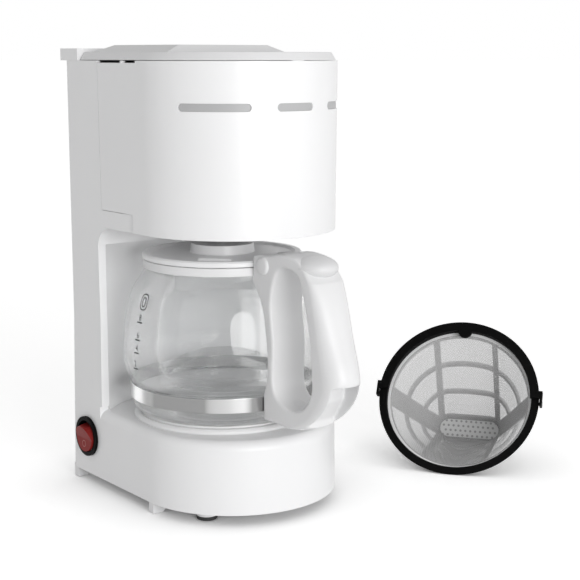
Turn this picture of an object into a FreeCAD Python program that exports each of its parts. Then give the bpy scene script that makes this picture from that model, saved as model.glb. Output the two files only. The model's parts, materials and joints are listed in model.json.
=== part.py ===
import FreeCAD
import Part
import math
import os

V = FreeCAD.Vector

# White drip coffee maker with a glass carafe and a permanent filter.
# Millimetres. Origin on the worktop under the axis of the round brew head; front is -Y, switch is -X.

# Outer shell: half width and rear face at the foot rim, at the parting line and at the top
RIM_Z, PARTING_Z, TOP_Z = 9.0, 110.0, 274.2
RIM_HALF_W, PARTING_HALF_W, TOP_HALF_W = 64.0, 62.9, 64.3
RIM_REAR_Y, PARTING_REAR_Y, TOP_REAR_Y = 102.2, 100.3, 98.0
REAR_CORNER_R = 11.0
WALL = 2.5
REACH = 2 * TOP_Z

# Base, carafe bay and brew head levels
DECK_Z = 52.0
DECK_EDGE_R = 6.0
HEAD_Z = 171.8
COLUMN_Y = 57.5
BAY_CORNER_R = 14.0
RECESS_HALF_W, RECESS_Y, RECESS_TOP_Z = 58.0, 80.0, 160.0
SEAM_Y, SEAM_GAP = 51.9, 0.25
PARTITION_TOP_Z = 258.0

# Side arms that carry the head, with a bevelled tip
ARM_TOP_Z, ARM_TIP_Y, ARM_BEVEL_Y, ARM_BEVEL, ARM_T, ARM_GAP = 182.6, 15.0, 26.0, 2.0, 3.2, 0.25

# Front slots and rim reliefs of the head
SLOT_Z, SLOT_H, SLOT_DEPTH = 248.0, 4.6, 1.3
SLOT_SPANS = ((-64.4, -25.6), (-11.6, 11.6), (25.6, 64.4))
RELIEF_H = 1.3
RELIEF_SPANS = ((7.6, 22.3), (24.6, SEAM_Y))

# Base plate, feet and screws
PLATE_T, PLATE_GAP = 2.5, 0.25
RIB_YS, RIB_T, RIB_OUT, RIB_BOTTOM, RIB_TOP = (0.0, 93.5), 5.0, 63.4, 7.0, 17.0
PAD_X, PAD_Y, PAD_R, PAD_T = 41.0, -28.0, 6.5, 2.5
SCREW_R, SCREW_HEAD_R, SCREW_HEAD_T = 1.6, 3.2, 1.8
BOSS_R, BASE_SCREW_DEPTH = 4.2, 14.0
BASE_SCREWS = ((-30.0, -42.0), (30.0, -42.0), (-42.0, 94.0), (42.0, 94.0))

# Warming plate and heater, on the carafe's axis
CARAFE_Y = 12.0
PLATE_R, PLATE_TOP_Z, PLATE_SHEET = 53.0, 56.2, 1.2
RING_R, RING_TOP_Z, RING_GAP = 57.0, 55.2, 0.3
DECK_HOLE_R = 46.0
HEATER_R, HEATER_W, HEATER_BOTTOM_Z, HEATER_MOUTH = 35.0, 14.0, 40.0, 30.0
WATER_X, WATER_Z, STUB_Y, STUB_R, STUB_BORE_R = 26.0, 44.0, 59.0, 4.5, 3.0
BRACKET_W, BRACKET_T, BRACKET_SCREW_X, BRACKET_SCREW_DEPTH = 18.0, 2.5, 49.0, 8.0
THERMOSTAT_R, THERMOSTAT_H, TAG_X, TAG_SIZE = 7.0, 9.0, 4.0, (0.8, 6.0, 6.0)
FUSE_SIZE = (5.0, 13.0, 4.0)
FUSE_ANGLES = (215.0, 325.0)

# Water path: tank, check valve, hoses and riser
TANK_GAP, TANK_T = 0.6, 2.0
OUTLET_X, OUTLET_Y, HOSE_START_Y = 30.0, 87.0, 74.0
HOSE_R, HOSE_BORE_R = 5.5, 3.4
CAGE_R, CAGE_BORE_R, CAGE_FLOOR_Z, CAGE_SEAT_R, CAGE_SEAT_T = 7.0, 4.2, 38.5, 2.4, 1.5
BALL_R, BALL_REST_GAP = 3.0, 0.1
GROMMET_GAP = 0.1
RISER_R, RISER_BORE_R, RISER_TOP_Z, RISER_GAP = 5.0, 3.6, 250.0, 1.0
SLEEVE_T, SPOUT_Z, SPOUT_END = 2.0, 266.5, (-9.0, 44.0)

# Permanent filter: conical rim, basket that ends in a narrow plate, folding bail
FILTER_R, FILTER_RIM_W, FILTER_RIM_T = 55.0, 5.4, 4.0
FILTER_BORE_R = FILTER_R - FILTER_RIM_W
FILTER_DEPTH, FILTER_END_HALF_L, FILTER_END_HALF_W = 70.0, 23.0, 8.0
FILTER_END_T, MESH_T, MESH_GAP, FILTER_RIB_W, FILTER_RIB_T = 2.0, 0.6, 0.05, 4.0, 1.8
FILTER_RIB_U, FILTER_SIDE_RIB_W = 20.5, 13.0
FILTER_HOOPS = (26.0, 47.0)
FILTER_HOOP_T = 2.4
FILTER_AZ, FILTER_CONTACT = 36.0, (135.5, -57.5)
FILTER_SLOPE = math.atan2(FILTER_R - FILTER_END_HALF_W, FILTER_DEPTH)
BAIL_T, BAIL_W, BAIL_GAP, BAIL_TAB_R, EAR_T, EAR_R = 2.6, 6.2, 0.35, 5.0, 1.6, 2.6
PIVOT_R, PIVOT_RUN = 1.2, 0.05

# Brew funnel and drip valve
FUNNEL_T, FUNNEL_GAP, FUNNEL_SEAT_Z, FUNNEL_TOP_Z = 1.8, 1.8, 250.0, 261.0
FUNNEL_Y, FUNNEL_RIM_GAP, FUNNEL_REAR_GAP = -3.6, 0.6, 0.4
OUTLET_SKIRT_R, OUTLET_SKIRT_T, OUTLET_BOTTOM_Z = 20.0, 2.0, 166.5
SKIRT_GAP, FOOT_RING_R, WEB_T = 0.5, 25.0, 3.0
VALVE_R, VALVE_RUN, VALVE_LIFT, VALVE_SEAT_R = 3.2, 0.08, 4.0, 6.5
VALVE_TIP_GAP, SEAL_T = 0.35, 1.6
SPRING_WIRE_R, SPRING_R, SPRING_TURNS = 0.45, 4.6, 3
GUIDE_R, GUIDE_T, STEM_COLLAR_R, STEM_COLLAR_T, STEM_COLLAR_GAP = 5.4, 2.4, 5.4, 1.0, 0.4

# Carafe: glass, collar, lid, handle and foot band
GLASS_T, GLASS_GAP = 2.2, 0.3
GLASS_FOOT_R, GLASS_WAIST_Z, GLASS_MAX_R, GLASS_NECK_R, GLASS_TOP_Z = 59.0, 75.0, 63.6, 47.2, 152.5
GLASS_RISES = (-8.0, 0.0, 6.0, 17.0, 39.0, 57.0, 69.0, 75.0)
GLASS_FLARE, GLASS_LEAN, GLASS_SHOULDER, GLASS_THROAT = 2.6, 1.8, 10.3, 2.8
GLASS_HEEL, GLASS_HEEL_BEND = 9.0, (2.4, 2.6)
COLLAR_Z0, COLLAR_Z1, COLLAR_R, COLLAR_GAP = 147.0, 152.4, 50.0, 0.2
LID_R, LID_Z0, LID_RIM_H, LID_T, LID_PLUG_GAP, LID_PLUG_DEPTH = 50.2, 152.9, 3.4, 2.0, 0.5, 6.0
LID_BOSS_R, LID_BOSS_Z, LID_DOME, LID_FLOOR_R = 19.5, 162.3, 0.8, 44.0
BAND_Z0, BAND_Z1, BAND_T, BAND_GAP = 66.0, 75.0, 0.7, 0.1
HANDLE_HALF_W, HANDLE_GAP = 12.5, 0.35
HINGE_Y, HINGE_Z, HINGE_R, HINGE_LUG_HALF_W, HINGE_SIDE_GAP, HINGE_PIN_R = -43.0, 157.0, 3.0, 4.0, 0.3, 1.2
HANDLE_SCREW_Z, HANDLE_SCREW_GRIP, HANDLE_SCREW_ROOM, HANDLE_PIN_INSET = 70.5, 4.0, 0.4, 1.5
HEAD_ROOM_RUN = 22.85
HANDLE_CREST = ((-30, 149), (-36, 159.5), (-52, 161.5), (-77, 165.5), (-92, 155), (-103, 133), (-110, 112),
                (-115, 92),
                (-108, 77), (-95, 66.5), (-80, 60.8), (-62, 61), (-40, 64), (-36, 90), (-34, 130))
FINGER_GAP = ((-60, 151), (-68, 156.5), (-78, 155), (-84.5, 143), (-90, 123), (-93.5, 100), (-92, 84),
              (-82, 73.5),
              (-68, 73), (-59.5, 78), (-57, 105), (-54.5, 130))

# Top lid and its hinge
TOP_LID_GAP, TOP_LID_EDGE_Z, TOP_LID_INSET, TOP_LID_SLOPE, TOP_LID_T = 0.3, 279.2, 1.0, 3.0, 2.2
PLATEAU_Z, PLATEAU_FRONT_Y, PLATEAU_FRONT_HALF_W, PLATEAU_REAR_HALF_W = 283.6, 5.0, 44.0, 56.0
PLATEAU_SIDE_SLOPE, PLATEAU_FRONT_SLOPE, PLATEAU_REAR_SLOPE = 11.0, 3.0, 8.0
BLOCK_Y0, BLOCK_OVERHANG, BLOCK_TOP_Z, BLOCK_GAP, BLOCK_CORNER_R = 75.0, 3.2, 281.6, 0.8, 6.0
LID_PIN_Y, LID_PIN_Z, LID_PIN_R, LID_PIN_RUN = 88.0, 277.8, 1.5, 0.05
LUG_X, LUG_HALF_W, LUG_R, LUG_SIDE_GAP, PIN_GRIP = 40.0, 6.0, 3.0, 0.5, 8.0
SHOWER_R, SHOWER_Z, SHOWER_T, SHOWER_HOLE_R, SHOWER_RINGS = 36.0, 268.0, 2.0, 1.3, ((12.0, 6), (25.0, 12))
SHOWER_MOUTH = 22.0

# Round rocker switch on the side of the base
SWITCH_Y, SWITCH_Z, SWITCH_R, SWITCH_FLANGE_R, SWITCH_FLANGE_T = 75.8, 32.0, 12.0, 13.1, 1.8
SWITCH_DEPTH, SWITCH_WALL, SWITCH_HOLE_GAP = 18.0, 1.5, 0.2
ROCKER_HALF_H, ROCKER_R, ROCKER_FRONT, ROCKER_HOLLOW, ROCKER_TILT = 8.8, 9.9, 10.6, 1.6, 8.0
ROCKER_PIN_X, ROCKER_PIN_R, ROCKER_PIN_RUN, ROCKER_BACK = 58.0, 1.2, 0.05, 3.5
BLADE = (7.0, 4.8, 0.8)
BLADE_ZS = (-7.0, 0.0, 7.0)

# Cord inlet and terminal block
GLAND_X, GLAND_Z, GLAND_R, GLAND_BORE_R, GLAND_FLANGE, GLAND_LENGTH = 22.0, 22.0, 6.5, 3.6, 2.0, 12.0
TERMINAL_SIZE, TERMINAL_Y, TERMINAL_WAYS, TERMINAL_HOLE_R = (28.0, 12.0, 11.0), 80.0, 3, 2.0


def box(x0, x1, y0, y1, z0, z1):
    return Part.makeBox(x1 - x0, y1 - y0, z1 - z0, V(x0, y0, z0))


def rod(start, end, radius):
    axis = V(*end) - V(*start)
    return Part.makeCylinder(radius, axis.Length, V(*start), axis)


def upright(x, y, z0, z1, radius):
    return rod((x, y, z0), (x, y, z1), radius)


def revolve(points, x=0.0, y=0.0):
    """Turn a closed outline of (radius, height) points about a vertical axis."""
    wire = Part.makePolygon([V(r, 0, z) for r, z in points] + [V(points[0][0], 0, points[0][1])])
    solid = Part.Face(wire).revolve(V(0, 0, 0), V(0, 0, 1), 360)
    solid.translate(V(x, y, 0))
    return solid


def fuse(shapes):
    first, *rest = shapes
    return first.multiFuse(rest).removeSplitter() if rest else first


def export(name, shapes):
    """Write one sub-part; several loose solids make a group."""
    shapes = shapes if isinstance(shapes, list) else [shapes]
    solids = [solid for shape in shapes for solid in shape.Solids]
    shape = solids[0] if len(solids) == 1 else Part.makeCompound(solids)
    print(name, len(solids), "valid" if shape.isValid() else "INVALID", round(shape.Volume, 1))
    shape.exportStep("parts/" + name + ".step")


def mirror_x(shape):
    return shape.mirror(V(0, 0, 0), V(1, 0, 0))


def tangent_path(points, share=0.45):
    """Straight runs joined by tangent arcs as large as the shorter run allows."""
    corners = [V(*p) for p in points]
    edges, last = [], corners[0]
    for before, here, after in zip(corners, corners[1:], corners[2:]):
        run_in, run_out = before - here, after - here
        trim = share * min(run_in.Length, run_out.Length)
        first = here + run_in.normalize() * trim
        second = here + run_out.normalize() * trim
        half_turn = (math.pi - run_in.getAngle(run_out)) / 2
        radius = trim / math.tan(half_turn)
        middle_way = (run_in + run_out).normalize()
        middle = here + middle_way * (radius / math.cos(half_turn) - radius)
        edges += [Part.LineSegment(last, first).toShape(), Part.Arc(first, middle, second).toShape()]
        last = second
    edges.append(Part.LineSegment(last, corners[-1]).toShape())
    return Part.Wire(edges)


def sweep(path, radius):
    start = path.Edges[0]
    way = start.tangentAt(start.FirstParameter)
    ring = Part.Wire([Part.makeCircle(radius, start.valueAt(start.FirstParameter), way)])
    return path.makePipeShell([ring], True, True)


def pipe(points, radius, bore):
    path = tangent_path(points)
    return sweep(path, radius).cut(sweep(path, bore))


# Outer shell of the machine


def level(z):
    """Half width and rear face of the outer shell at one height."""
    low = (RIM_Z, RIM_HALF_W, RIM_REAR_Y)
    middle = (PARTING_Z, PARTING_HALF_W, PARTING_REAR_Y)
    high = (TOP_Z, TOP_HALF_W, TOP_REAR_Y)
    start, end = (low, middle) if z < PARTING_Z else (middle, high)
    share = (z - start[0]) / (end[0] - start[0])
    return start[1] + share * (end[1] - start[1]), start[2] + share * (end[2] - start[2])


def d_outline(half_w, rear_y, corner_r, z):
    """Plan of the body: half circle in front, straight sides, rounded rear corners."""
    c = corner_r * (1 - math.sqrt(0.5))
    side = rear_y - corner_r
    inner = half_w - corner_r
    edges = [
        Part.LineSegment(V(half_w, 0, z), V(half_w, side, z)),
        Part.Arc(V(half_w, side, z), V(half_w - c, rear_y - c, z), V(inner, rear_y, z)),
        Part.LineSegment(V(inner, rear_y, z), V(-inner, rear_y, z)),
        Part.Arc(V(-inner, rear_y, z), V(c - half_w, rear_y - c, z), V(-half_w, side, z)),
        Part.LineSegment(V(-half_w, side, z), V(-half_w, 0, z)),
        Part.Arc(V(-half_w, 0, z), V(0, -half_w, z), V(half_w, 0, z)),
    ]
    return Part.Wire([edge.toShape() for edge in edges])


def body_block(inset, z0, z1):
    """Solid body between two heights, drawn in all round by an inset."""
    heights = [z0] + ([PARTING_Z] if z0 < PARTING_Z < z1 else []) + [z1]
    wires = []
    for z in heights:
        half_w, rear_y = level(z)
        wires.append(d_outline(half_w - inset, rear_y - inset, REAR_CORNER_R - inset, z))
    return Part.makeLoft(wires, True, True)


def bay_space(grow):
    """Open bay for the carafe with its rounded upper corner and the hollow in the column."""
    y, z0, z1, r = COLUMN_Y + grow, DECK_Z - grow, HEAD_Z + grow, BAY_CORNER_R + grow
    c = r * (1 - math.sqrt(0.5))
    edges = [
        Part.LineSegment(V(0, -REACH, z0), V(0, y, z0)),
        Part.LineSegment(V(0, y, z0), V(0, y, z1 - r)),
        Part.Arc(V(0, y, z1 - r), V(0, y - c, z1 - c), V(0, y - r, z1)),
        Part.LineSegment(V(0, y - r, z1), V(0, -REACH, z1)),
        Part.LineSegment(V(0, -REACH, z1), V(0, -REACH, z0)),
    ]
    profile = Part.Face(Part.Wire([edge.toShape() for edge in edges]))
    profile.translate(V(-REACH, 0, 0))
    bay = profile.extrude(V(2 * REACH, 0, 0))
    w = RECESS_HALF_W + grow
    arc = Part.Arc(V(w, y, z0), V(0, RECESS_Y + grow, z0), V(-w, y, z0)).toShape()
    chord = [V(-w, y, z0), V(-w, 0, z0), V(w, 0, z0), V(w, y, z0)]
    recess = Part.Face(Part.Wire([arc] + Part.makePolygon(chord).Edges))
    return bay.fuse(recess.extrude(V(0, 0, RECESS_TOP_Z + grow - z0)))


def head_space(grow):
    return box(-REACH, REACH, -REACH, SEAM_Y + grow, HEAD_Z, TOP_Z + REACH)


def arm_blank(grow):
    """Both arms as plain bars, from the seam to the tip."""
    bars = body_block(0, HEAD_Z, ARM_TOP_Z + grow).cut(body_block(ARM_T + grow, HEAD_Z, ARM_TOP_Z + grow))
    return bars.common(box(-REACH, REACH, ARM_TIP_Y - grow, SEAM_Y + WALL, HEAD_Z, ARM_TOP_Z + grow))


def arms():
    half_w = level(ARM_TOP_Z)[0]
    bevel = [V(half_w - ARM_BEVEL, ARM_TIP_Y, HEAD_Z), V(half_w + WALL, ARM_TIP_Y, HEAD_Z),
             V(half_w + WALL, ARM_BEVEL_Y, HEAD_Z), V(half_w, ARM_BEVEL_Y, HEAD_Z)]
    wedge = Part.Face(Part.makePolygon(bevel + bevel[:1])).extrude(V(0, 0, ARM_TOP_Z - HEAD_Z))
    return arm_blank(0).cut(wedge).cut(mirror_x(wedge))


def main_housing():
    base = body_block(0, RIM_Z, DECK_Z)
    base = base.makeFillet(DECK_EDGE_R, [e for e in base.Edges if e.BoundBox.ZMin > DECK_Z - 0.01])
    tall = body_block(0, RIM_Z, TOP_Z).cut(bay_space(0)).cut(head_space(0))
    rear_only = tall.common(box(-REACH, REACH, 0, REACH, DECK_Z - DECK_EDGE_R * 2, REACH))
    base_room = body_block(WALL, RIM_Z, DECK_Z - WALL)
    tank_room = body_block(WALL, DECK_Z, TOP_Z).cut(bay_space(WALL)).cut(head_space(WALL))
    mouth = body_block(WALL, PARTITION_TOP_Z, TOP_Z).common(box(-REACH, REACH, 0, REACH, 0, REACH))
    shell = base.fuse(rear_only).removeSplitter().cut(base_room).cut(tank_room).cut(mouth)
    bosses = [upright(x, y, RIM_Z + PLATE_T, DECK_Z - WALL / 2, BOSS_R) for x, y in BASE_SCREWS]
    bosses += [upright(x, CARAFE_Y, HEATER_BOTTOM_Z, DECK_Z - WALL / 2, BOSS_R)
               for x in (-BRACKET_SCREW_X, BRACKET_SCREW_X)]
    shell = fuse([shell, arms()] + bosses)
    pilots = [upright(x, y, RIM_Z, RIM_Z + PLATE_T + BASE_SCREW_DEPTH, SCREW_R) for x, y in BASE_SCREWS]
    pilots += [upright(x, CARAFE_Y, RIM_Z, DECK_Z - WALL, SCREW_R)
               for x in (-BRACKET_SCREW_X, BRACKET_SCREW_X)]
    holes = [upright(0, CARAFE_Y, DECK_Z - WALL - 1, DECK_Z + 1, DECK_HOLE_R),
             upright(OUTLET_X, OUTLET_Y, DECK_Z - WALL - 1, DECK_Z + 1, CAGE_R),
             upright(-OUTLET_X, OUTLET_Y, DECK_Z - WALL - 1, DECK_Z + 1, RISER_R + RISER_GAP / 2),
             rod((-REACH, SWITCH_Y, SWITCH_Z), (-SWITCH_DEPTH, SWITCH_Y, SWITCH_Z),
                 SWITCH_R + SWITCH_HOLE_GAP),
             rod((GLAND_X, RIM_REAR_Y - 3 * WALL, GLAND_Z), (GLAND_X, REACH, GLAND_Z), GLAND_R)]
    return shell.cut(Part.makeCompound(pilots)).cut(Part.makeCompound(holes))


# Brew head


def front_slot(start, end):
    """Curved slot with round ends, sunk into the drum's face."""
    half_w = level(SLOT_Z)[0]
    turn = (SLOT_H / 2) / half_w
    a0, a1 = math.radians(start) + turn, math.radians(end) - turn
    floor_r = half_w - SLOT_DEPTH
    outline = [V(floor_r, 0, SLOT_Z - SLOT_H / 2), V(half_w + WALL, 0, SLOT_Z - SLOT_H / 2),
               V(half_w + WALL, 0, SLOT_Z + SLOT_H / 2), V(floor_r, 0, SLOT_Z + SLOT_H / 2)]
    run = Part.Face(Part.makePolygon(outline + outline[:1]))
    run = run.revolve(V(0, 0, 0), V(0, 0, 1), math.degrees(a1 - a0))
    run.rotate(V(0, 0, 0), V(0, 0, 1), math.degrees(a0) - 90)
    ends = []
    for a in (a0, a1):
        way = V(math.sin(a), -math.cos(a), 0)
        ends.append(Part.makeCylinder(SLOT_H / 2, WALL + SLOT_DEPTH, way * floor_r + V(0, 0, SLOT_Z), way))
    return run.multiFuse(ends)


def brew_head_shell():
    front = box(-REACH, REACH, -REACH, SEAM_Y - SEAM_GAP, 0, REACH)
    shell = body_block(0, HEAD_Z, TOP_Z).common(front)
    shell = shell.cut(body_block(WALL, HEAD_Z + WALL, TOP_Z))
    shell = shell.cut(arm_blank(ARM_GAP)).cut(upright(0, CARAFE_Y, 0, HEAD_Z + 2 * WALL,
                                                      OUTLET_SKIRT_R + SKIRT_GAP))
    shell = shell.cut(Part.makeCompound([front_slot(*span) for span in SLOT_SPANS]))
    reliefs = [box(side * (TOP_HALF_W - WALL - 1) if side > 0 else -REACH,
                   REACH if side > 0 else -(TOP_HALF_W - WALL - 1), y0, y1, TOP_Z - RELIEF_H, TOP_Z + 1)
               for side in (-1, 1) for y0, y1 in RELIEF_SPANS]
    return shell.cut(Part.makeCompound(reliefs))


# Underside


def base_plate():
    plate = body_block(WALL + PLATE_GAP, RIM_Z, RIM_Z + PLATE_T)
    ribs = []
    for y in RIB_YS:
        outline = [V(RIB_OUT, 0, 0), V(RIB_OUT - RIB_BOTTOM, 0, 0), V(RIB_OUT - RIB_TOP, 0, RIM_Z),
                   V(RIB_OUT, 0, RIM_Z)]
        face = Part.Face(Part.makePolygon(outline + outline[:1]))
        face.translate(V(0, y - RIB_T / 2, 0))
        rib = face.extrude(V(0, RIB_T, 0))
        ribs += [rib, mirror_x(rib)]
    stubs = [upright(x, PAD_Y, PAD_T, RIM_Z, PAD_R) for x in (-PAD_X, PAD_X)]
    holes = [upright(x, y, 0, RIM_Z + 2 * PLATE_T, SCREW_R) for x, y in BASE_SCREWS]
    return fuse([plate] + ribs + stubs).cut(Part.makeCompound(holes))


def front_foot_pads():
    return [upright(x, PAD_Y, 0, PAD_T, PAD_R) for x in (-PAD_X, PAD_X)]


def screw_up(x, y, seat_z, length):
    """Pan head screw driven upwards; its head lies under the seat."""
    return upright(x, y, seat_z - SCREW_HEAD_T, seat_z, SCREW_HEAD_R).fuse(
        upright(x, y, seat_z, seat_z + length, SCREW_R))


def base_screws():
    return [screw_up(x, y, RIM_Z, PLATE_T + BASE_SCREW_DEPTH) for x, y in BASE_SCREWS]


# Warming plate and heater


def hot_plate():
    r, z, t = PLATE_R, PLATE_TOP_Z, PLATE_SHEET
    return revolve([(0, z - t), (0, z), (r, z), (r, DECK_Z), (r - t, DECK_Z), (r - t, z - t)], 0, CARAFE_Y)


def hot_plate_ring():
    r0 = PLATE_R + RING_GAP
    edge = (RING_TOP_Z - DECK_Z) / 2
    return revolve([(r0, DECK_Z), (r0, RING_TOP_Z), (RING_R - edge, RING_TOP_Z), (RING_R, RING_TOP_Z - edge),
                    (RING_R, DECK_Z)], 0, CARAFE_Y)


def heater_element():
    top = PLATE_TOP_Z - PLATE_SHEET
    r0, r1 = HEATER_R - HEATER_W / 2, HEATER_R + HEATER_W / 2
    ring = revolve([(r0, HEATER_BOTTOM_Z), (r0, top), (r1, top), (r1, HEATER_BOTTOM_Z)], 0, CARAFE_Y)
    ring = ring.cut(box(-HEATER_MOUTH / 2, HEATER_MOUTH / 2, CARAFE_Y, REACH, 0, REACH))
    start = CARAFE_Y + math.sqrt(HEATER_R ** 2 - WATER_X ** 2)
    stubs = [rod((x, start, WATER_Z), (x, STUB_Y, WATER_Z), STUB_R) for x in (-WATER_X, WATER_X)]
    bores = [rod((x, start, WATER_Z), (x, STUB_Y, WATER_Z), STUB_BORE_R) for x in (-WATER_X, WATER_X)]
    return fuse([ring] + stubs).cut(Part.makeCompound(bores))


def heater_bracket():
    end = BRACKET_SCREW_X + BRACKET_W / 2
    bar = box(-end, end, CARAFE_Y - BRACKET_W / 2, CARAFE_Y + BRACKET_W / 2, HEATER_BOTTOM_Z - BRACKET_T,
              HEATER_BOTTOM_Z)
    holes = [upright(x, CARAFE_Y, 0, REACH, SCREW_R) for x in (-BRACKET_SCREW_X, BRACKET_SCREW_X)]
    return bar.cut(Part.makeCompound(holes))


def heater_screws():
    seat = HEATER_BOTTOM_Z - BRACKET_T
    return [screw_up(x, CARAFE_Y, seat, BRACKET_T + BRACKET_SCREW_DEPTH)
            for x in (-BRACKET_SCREW_X, BRACKET_SCREW_X)]


def thermostat():
    y = CARAFE_Y - HEATER_R
    z1 = HEATER_BOTTOM_Z
    can = upright(0, y, z1 - THERMOSTAT_H, z1, THERMOSTAT_R)
    t, width, length = TAG_SIZE
    tip = z1 - THERMOSTAT_H
    tags = [box(x - t / 2, x + t / 2, y - width / 2, y + width / 2, tip - length, tip)
            for x in (-TAG_X, TAG_X)]
    return fuse([can] + tags)


def thermal_fuses():
    """Two fuse cases held flat against the underside of the heater."""
    w, length, h = FUSE_SIZE
    fuses = []
    for angle in FUSE_ANGLES:
        case = box(-w / 2, w / 2, -length / 2, length / 2, HEATER_BOTTOM_Z - h, HEATER_BOTTOM_Z)
        case.rotate(V(0, 0, 0), V(0, 0, 1), angle)
        way = math.radians(angle)
        case.translate(V(HEATER_R * math.cos(way), CARAFE_Y + HEATER_R * math.sin(way), 0))
        fuses.append(case)
    return fuses


# Water path


def tank_block(inset, z0, z1):
    room = body_block(WALL + inset, z0, z1).cut(bay_space(WALL + inset)).cut(head_space(WALL + inset))
    return room


def water_tank():
    tank = tank_block(TANK_GAP, DECK_Z, PARTITION_TOP_Z)
    tank = tank.cut(tank_block(TANK_GAP + TANK_T, DECK_Z + TANK_T, PARTITION_TOP_Z))
    bore = RISER_R + RISER_GAP
    sleeve = upright(-OUTLET_X, OUTLET_Y, DECK_Z, RISER_TOP_Z - 4, bore + SLEEVE_T)
    tank = tank.fuse(sleeve.common(tank_block(TANK_GAP, DECK_Z, PARTITION_TOP_Z))).removeSplitter()
    tank = tank.cut(upright(-OUTLET_X, OUTLET_Y, 0, REACH, bore))
    return tank.cut(upright(OUTLET_X, OUTLET_Y, 0, DECK_Z + 2 * TANK_T, CAGE_SEAT_R))


def tank_outlet_grommet():
    return revolve([(CAGE_SEAT_R, DECK_Z - WALL), (CAGE_SEAT_R, DECK_Z), (CAGE_R - GROMMET_GAP, DECK_Z),
                    (CAGE_R - GROMMET_GAP, DECK_Z - WALL)], OUTLET_X, OUTLET_Y)


def check_valve_cage():
    top = DECK_Z - WALL
    cage = upright(OUTLET_X, OUTLET_Y, CAGE_FLOOR_Z - WALL, top, CAGE_R)
    cage = cage.fuse(rod((OUTLET_X, OUTLET_Y, WATER_Z), (OUTLET_X, HOSE_START_Y, WATER_Z), STUB_R))
    chamber = upright(OUTLET_X, OUTLET_Y, CAGE_FLOOR_Z, top - CAGE_SEAT_T, CAGE_BORE_R)
    inlet = upright(OUTLET_X, OUTLET_Y, top - 2 * CAGE_SEAT_T, top + 1, CAGE_SEAT_R)
    outlet = rod((OUTLET_X, OUTLET_Y, WATER_Z), (OUTLET_X, HOSE_START_Y, WATER_Z), BALL_R - 0.4)
    return cage.cut(Part.makeCompound([chamber])).cut(inlet).cut(outlet)


def check_valve_ball():
    return Part.makeSphere(BALL_R, V(OUTLET_X, OUTLET_Y, CAGE_FLOOR_Z + BALL_REST_GAP + BALL_R))


def hose(side):
    run = (HOSE_START_Y - STUB_Y) / 3
    x0, x1 = side * OUTLET_X, side * WATER_X
    route = [(x0, HOSE_START_Y, WATER_Z), (x0, HOSE_START_Y - run, WATER_Z), (x1, STUB_Y + run, WATER_Z),
             (x1, STUB_Y, WATER_Z)]
    return pipe(route, HOSE_R, HOSE_BORE_R)


def riser_tube():
    route = [(-OUTLET_X, HOSE_START_Y, WATER_Z), (-OUTLET_X, OUTLET_Y, WATER_Z),
             (-OUTLET_X, OUTLET_Y, RISER_TOP_Z)]
    return pipe(route, RISER_R, RISER_BORE_R)


def riser_spout():
    route = [(-OUTLET_X, OUTLET_Y, RISER_TOP_Z), (-OUTLET_X, OUTLET_Y, SPOUT_Z), SPOUT_END + (SPOUT_Z,)]
    return pipe(route, RISER_R, RISER_BORE_R)


# Basket shape shared by the filter and the funnel that holds it


def stadium(half_l, half_w, z):
    """Round-ended plate outline, long along X, cut into the same four edges as a circle."""
    flat = half_l - half_w
    return Part.Wire([edge.toShape() for edge in (
        Part.LineSegment(V(-flat, -half_w, z), V(flat, -half_w, z)),
        Part.Arc(V(flat, -half_w, z), V(half_l, 0, z), V(flat, half_w, z)),
        Part.LineSegment(V(flat, half_w, z), V(-flat, half_w, z)),
        Part.Arc(V(-flat, half_w, z), V(-half_l, 0, z), V(-flat, -half_w, z)))])


def rim_circle(radius, flat, z):
    """Circle whose edges break where the straight sides of the end plate begin."""
    y = math.sqrt(radius ** 2 - flat ** 2)
    return Part.Wire([edge.toShape() for edge in (
        Part.Arc(V(-flat, -y, z), V(0, -radius, z), V(flat, -y, z)),
        Part.Arc(V(flat, -y, z), V(radius, 0, z), V(flat, y, z)),
        Part.Arc(V(flat, y, z), V(0, radius, z), V(-flat, y, z)),
        Part.Arc(V(-flat, y, z), V(-radius, 0, z), V(-flat, -y, z)))])


def basket_block(grow, mouth_z, end_z):
    """Solid that narrows from the round mouth to the end plate; depth runs along +Z."""
    flat = FILTER_END_HALF_L - FILTER_END_HALF_W
    mouth = rim_circle(FILTER_BORE_R + grow, flat, mouth_z)
    end = stadium(FILTER_END_HALF_L + grow, FILTER_END_HALF_W + grow, end_z)
    return Part.makeLoft([mouth, end], True, True)


def place_filter(shape):
    """Lay the filter on its broad side, its mouth towards the front and up."""
    az = math.radians(FILTER_AZ)
    depth = V(math.cos(az) * math.cos(FILTER_SLOPE), math.sin(az) * math.cos(FILTER_SLOPE),
              -math.sin(FILTER_SLOPE))
    across = V(math.sin(az), -math.cos(az), 0)
    down = depth.cross(across)
    centre = V(FILTER_CONTACT[0], FILTER_CONTACT[1], 0) - down * FILTER_R
    matrix = FreeCAD.Matrix(across.x, down.x, depth.x, centre.x, across.y, down.y, depth.y, centre.y,
                            across.z, down.z, depth.z, centre.z, 0, 0, 0, 1)
    placed = shape.copy()
    placed.Placement = FreeCAD.Placement(matrix)
    return placed


def filter_rim():
    t = FILTER_RIM_T
    back_r = FILTER_R - t * math.tan(FILTER_SLOPE)
    ring = revolve([(FILTER_BORE_R, 0), (FILTER_R, 0), (back_r, t), (FILTER_BORE_R, t)])
    ear_x = FILTER_R + BAIL_GAP + EAR_T
    pivots = [rod((side * (FILTER_BORE_R + 1), 0, t / 2), (side * (ear_x + PIVOT_RUN), 0, t / 2), PIVOT_R)
              for side in (-1, 1)]
    return fuse([ring] + pivots)


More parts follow.
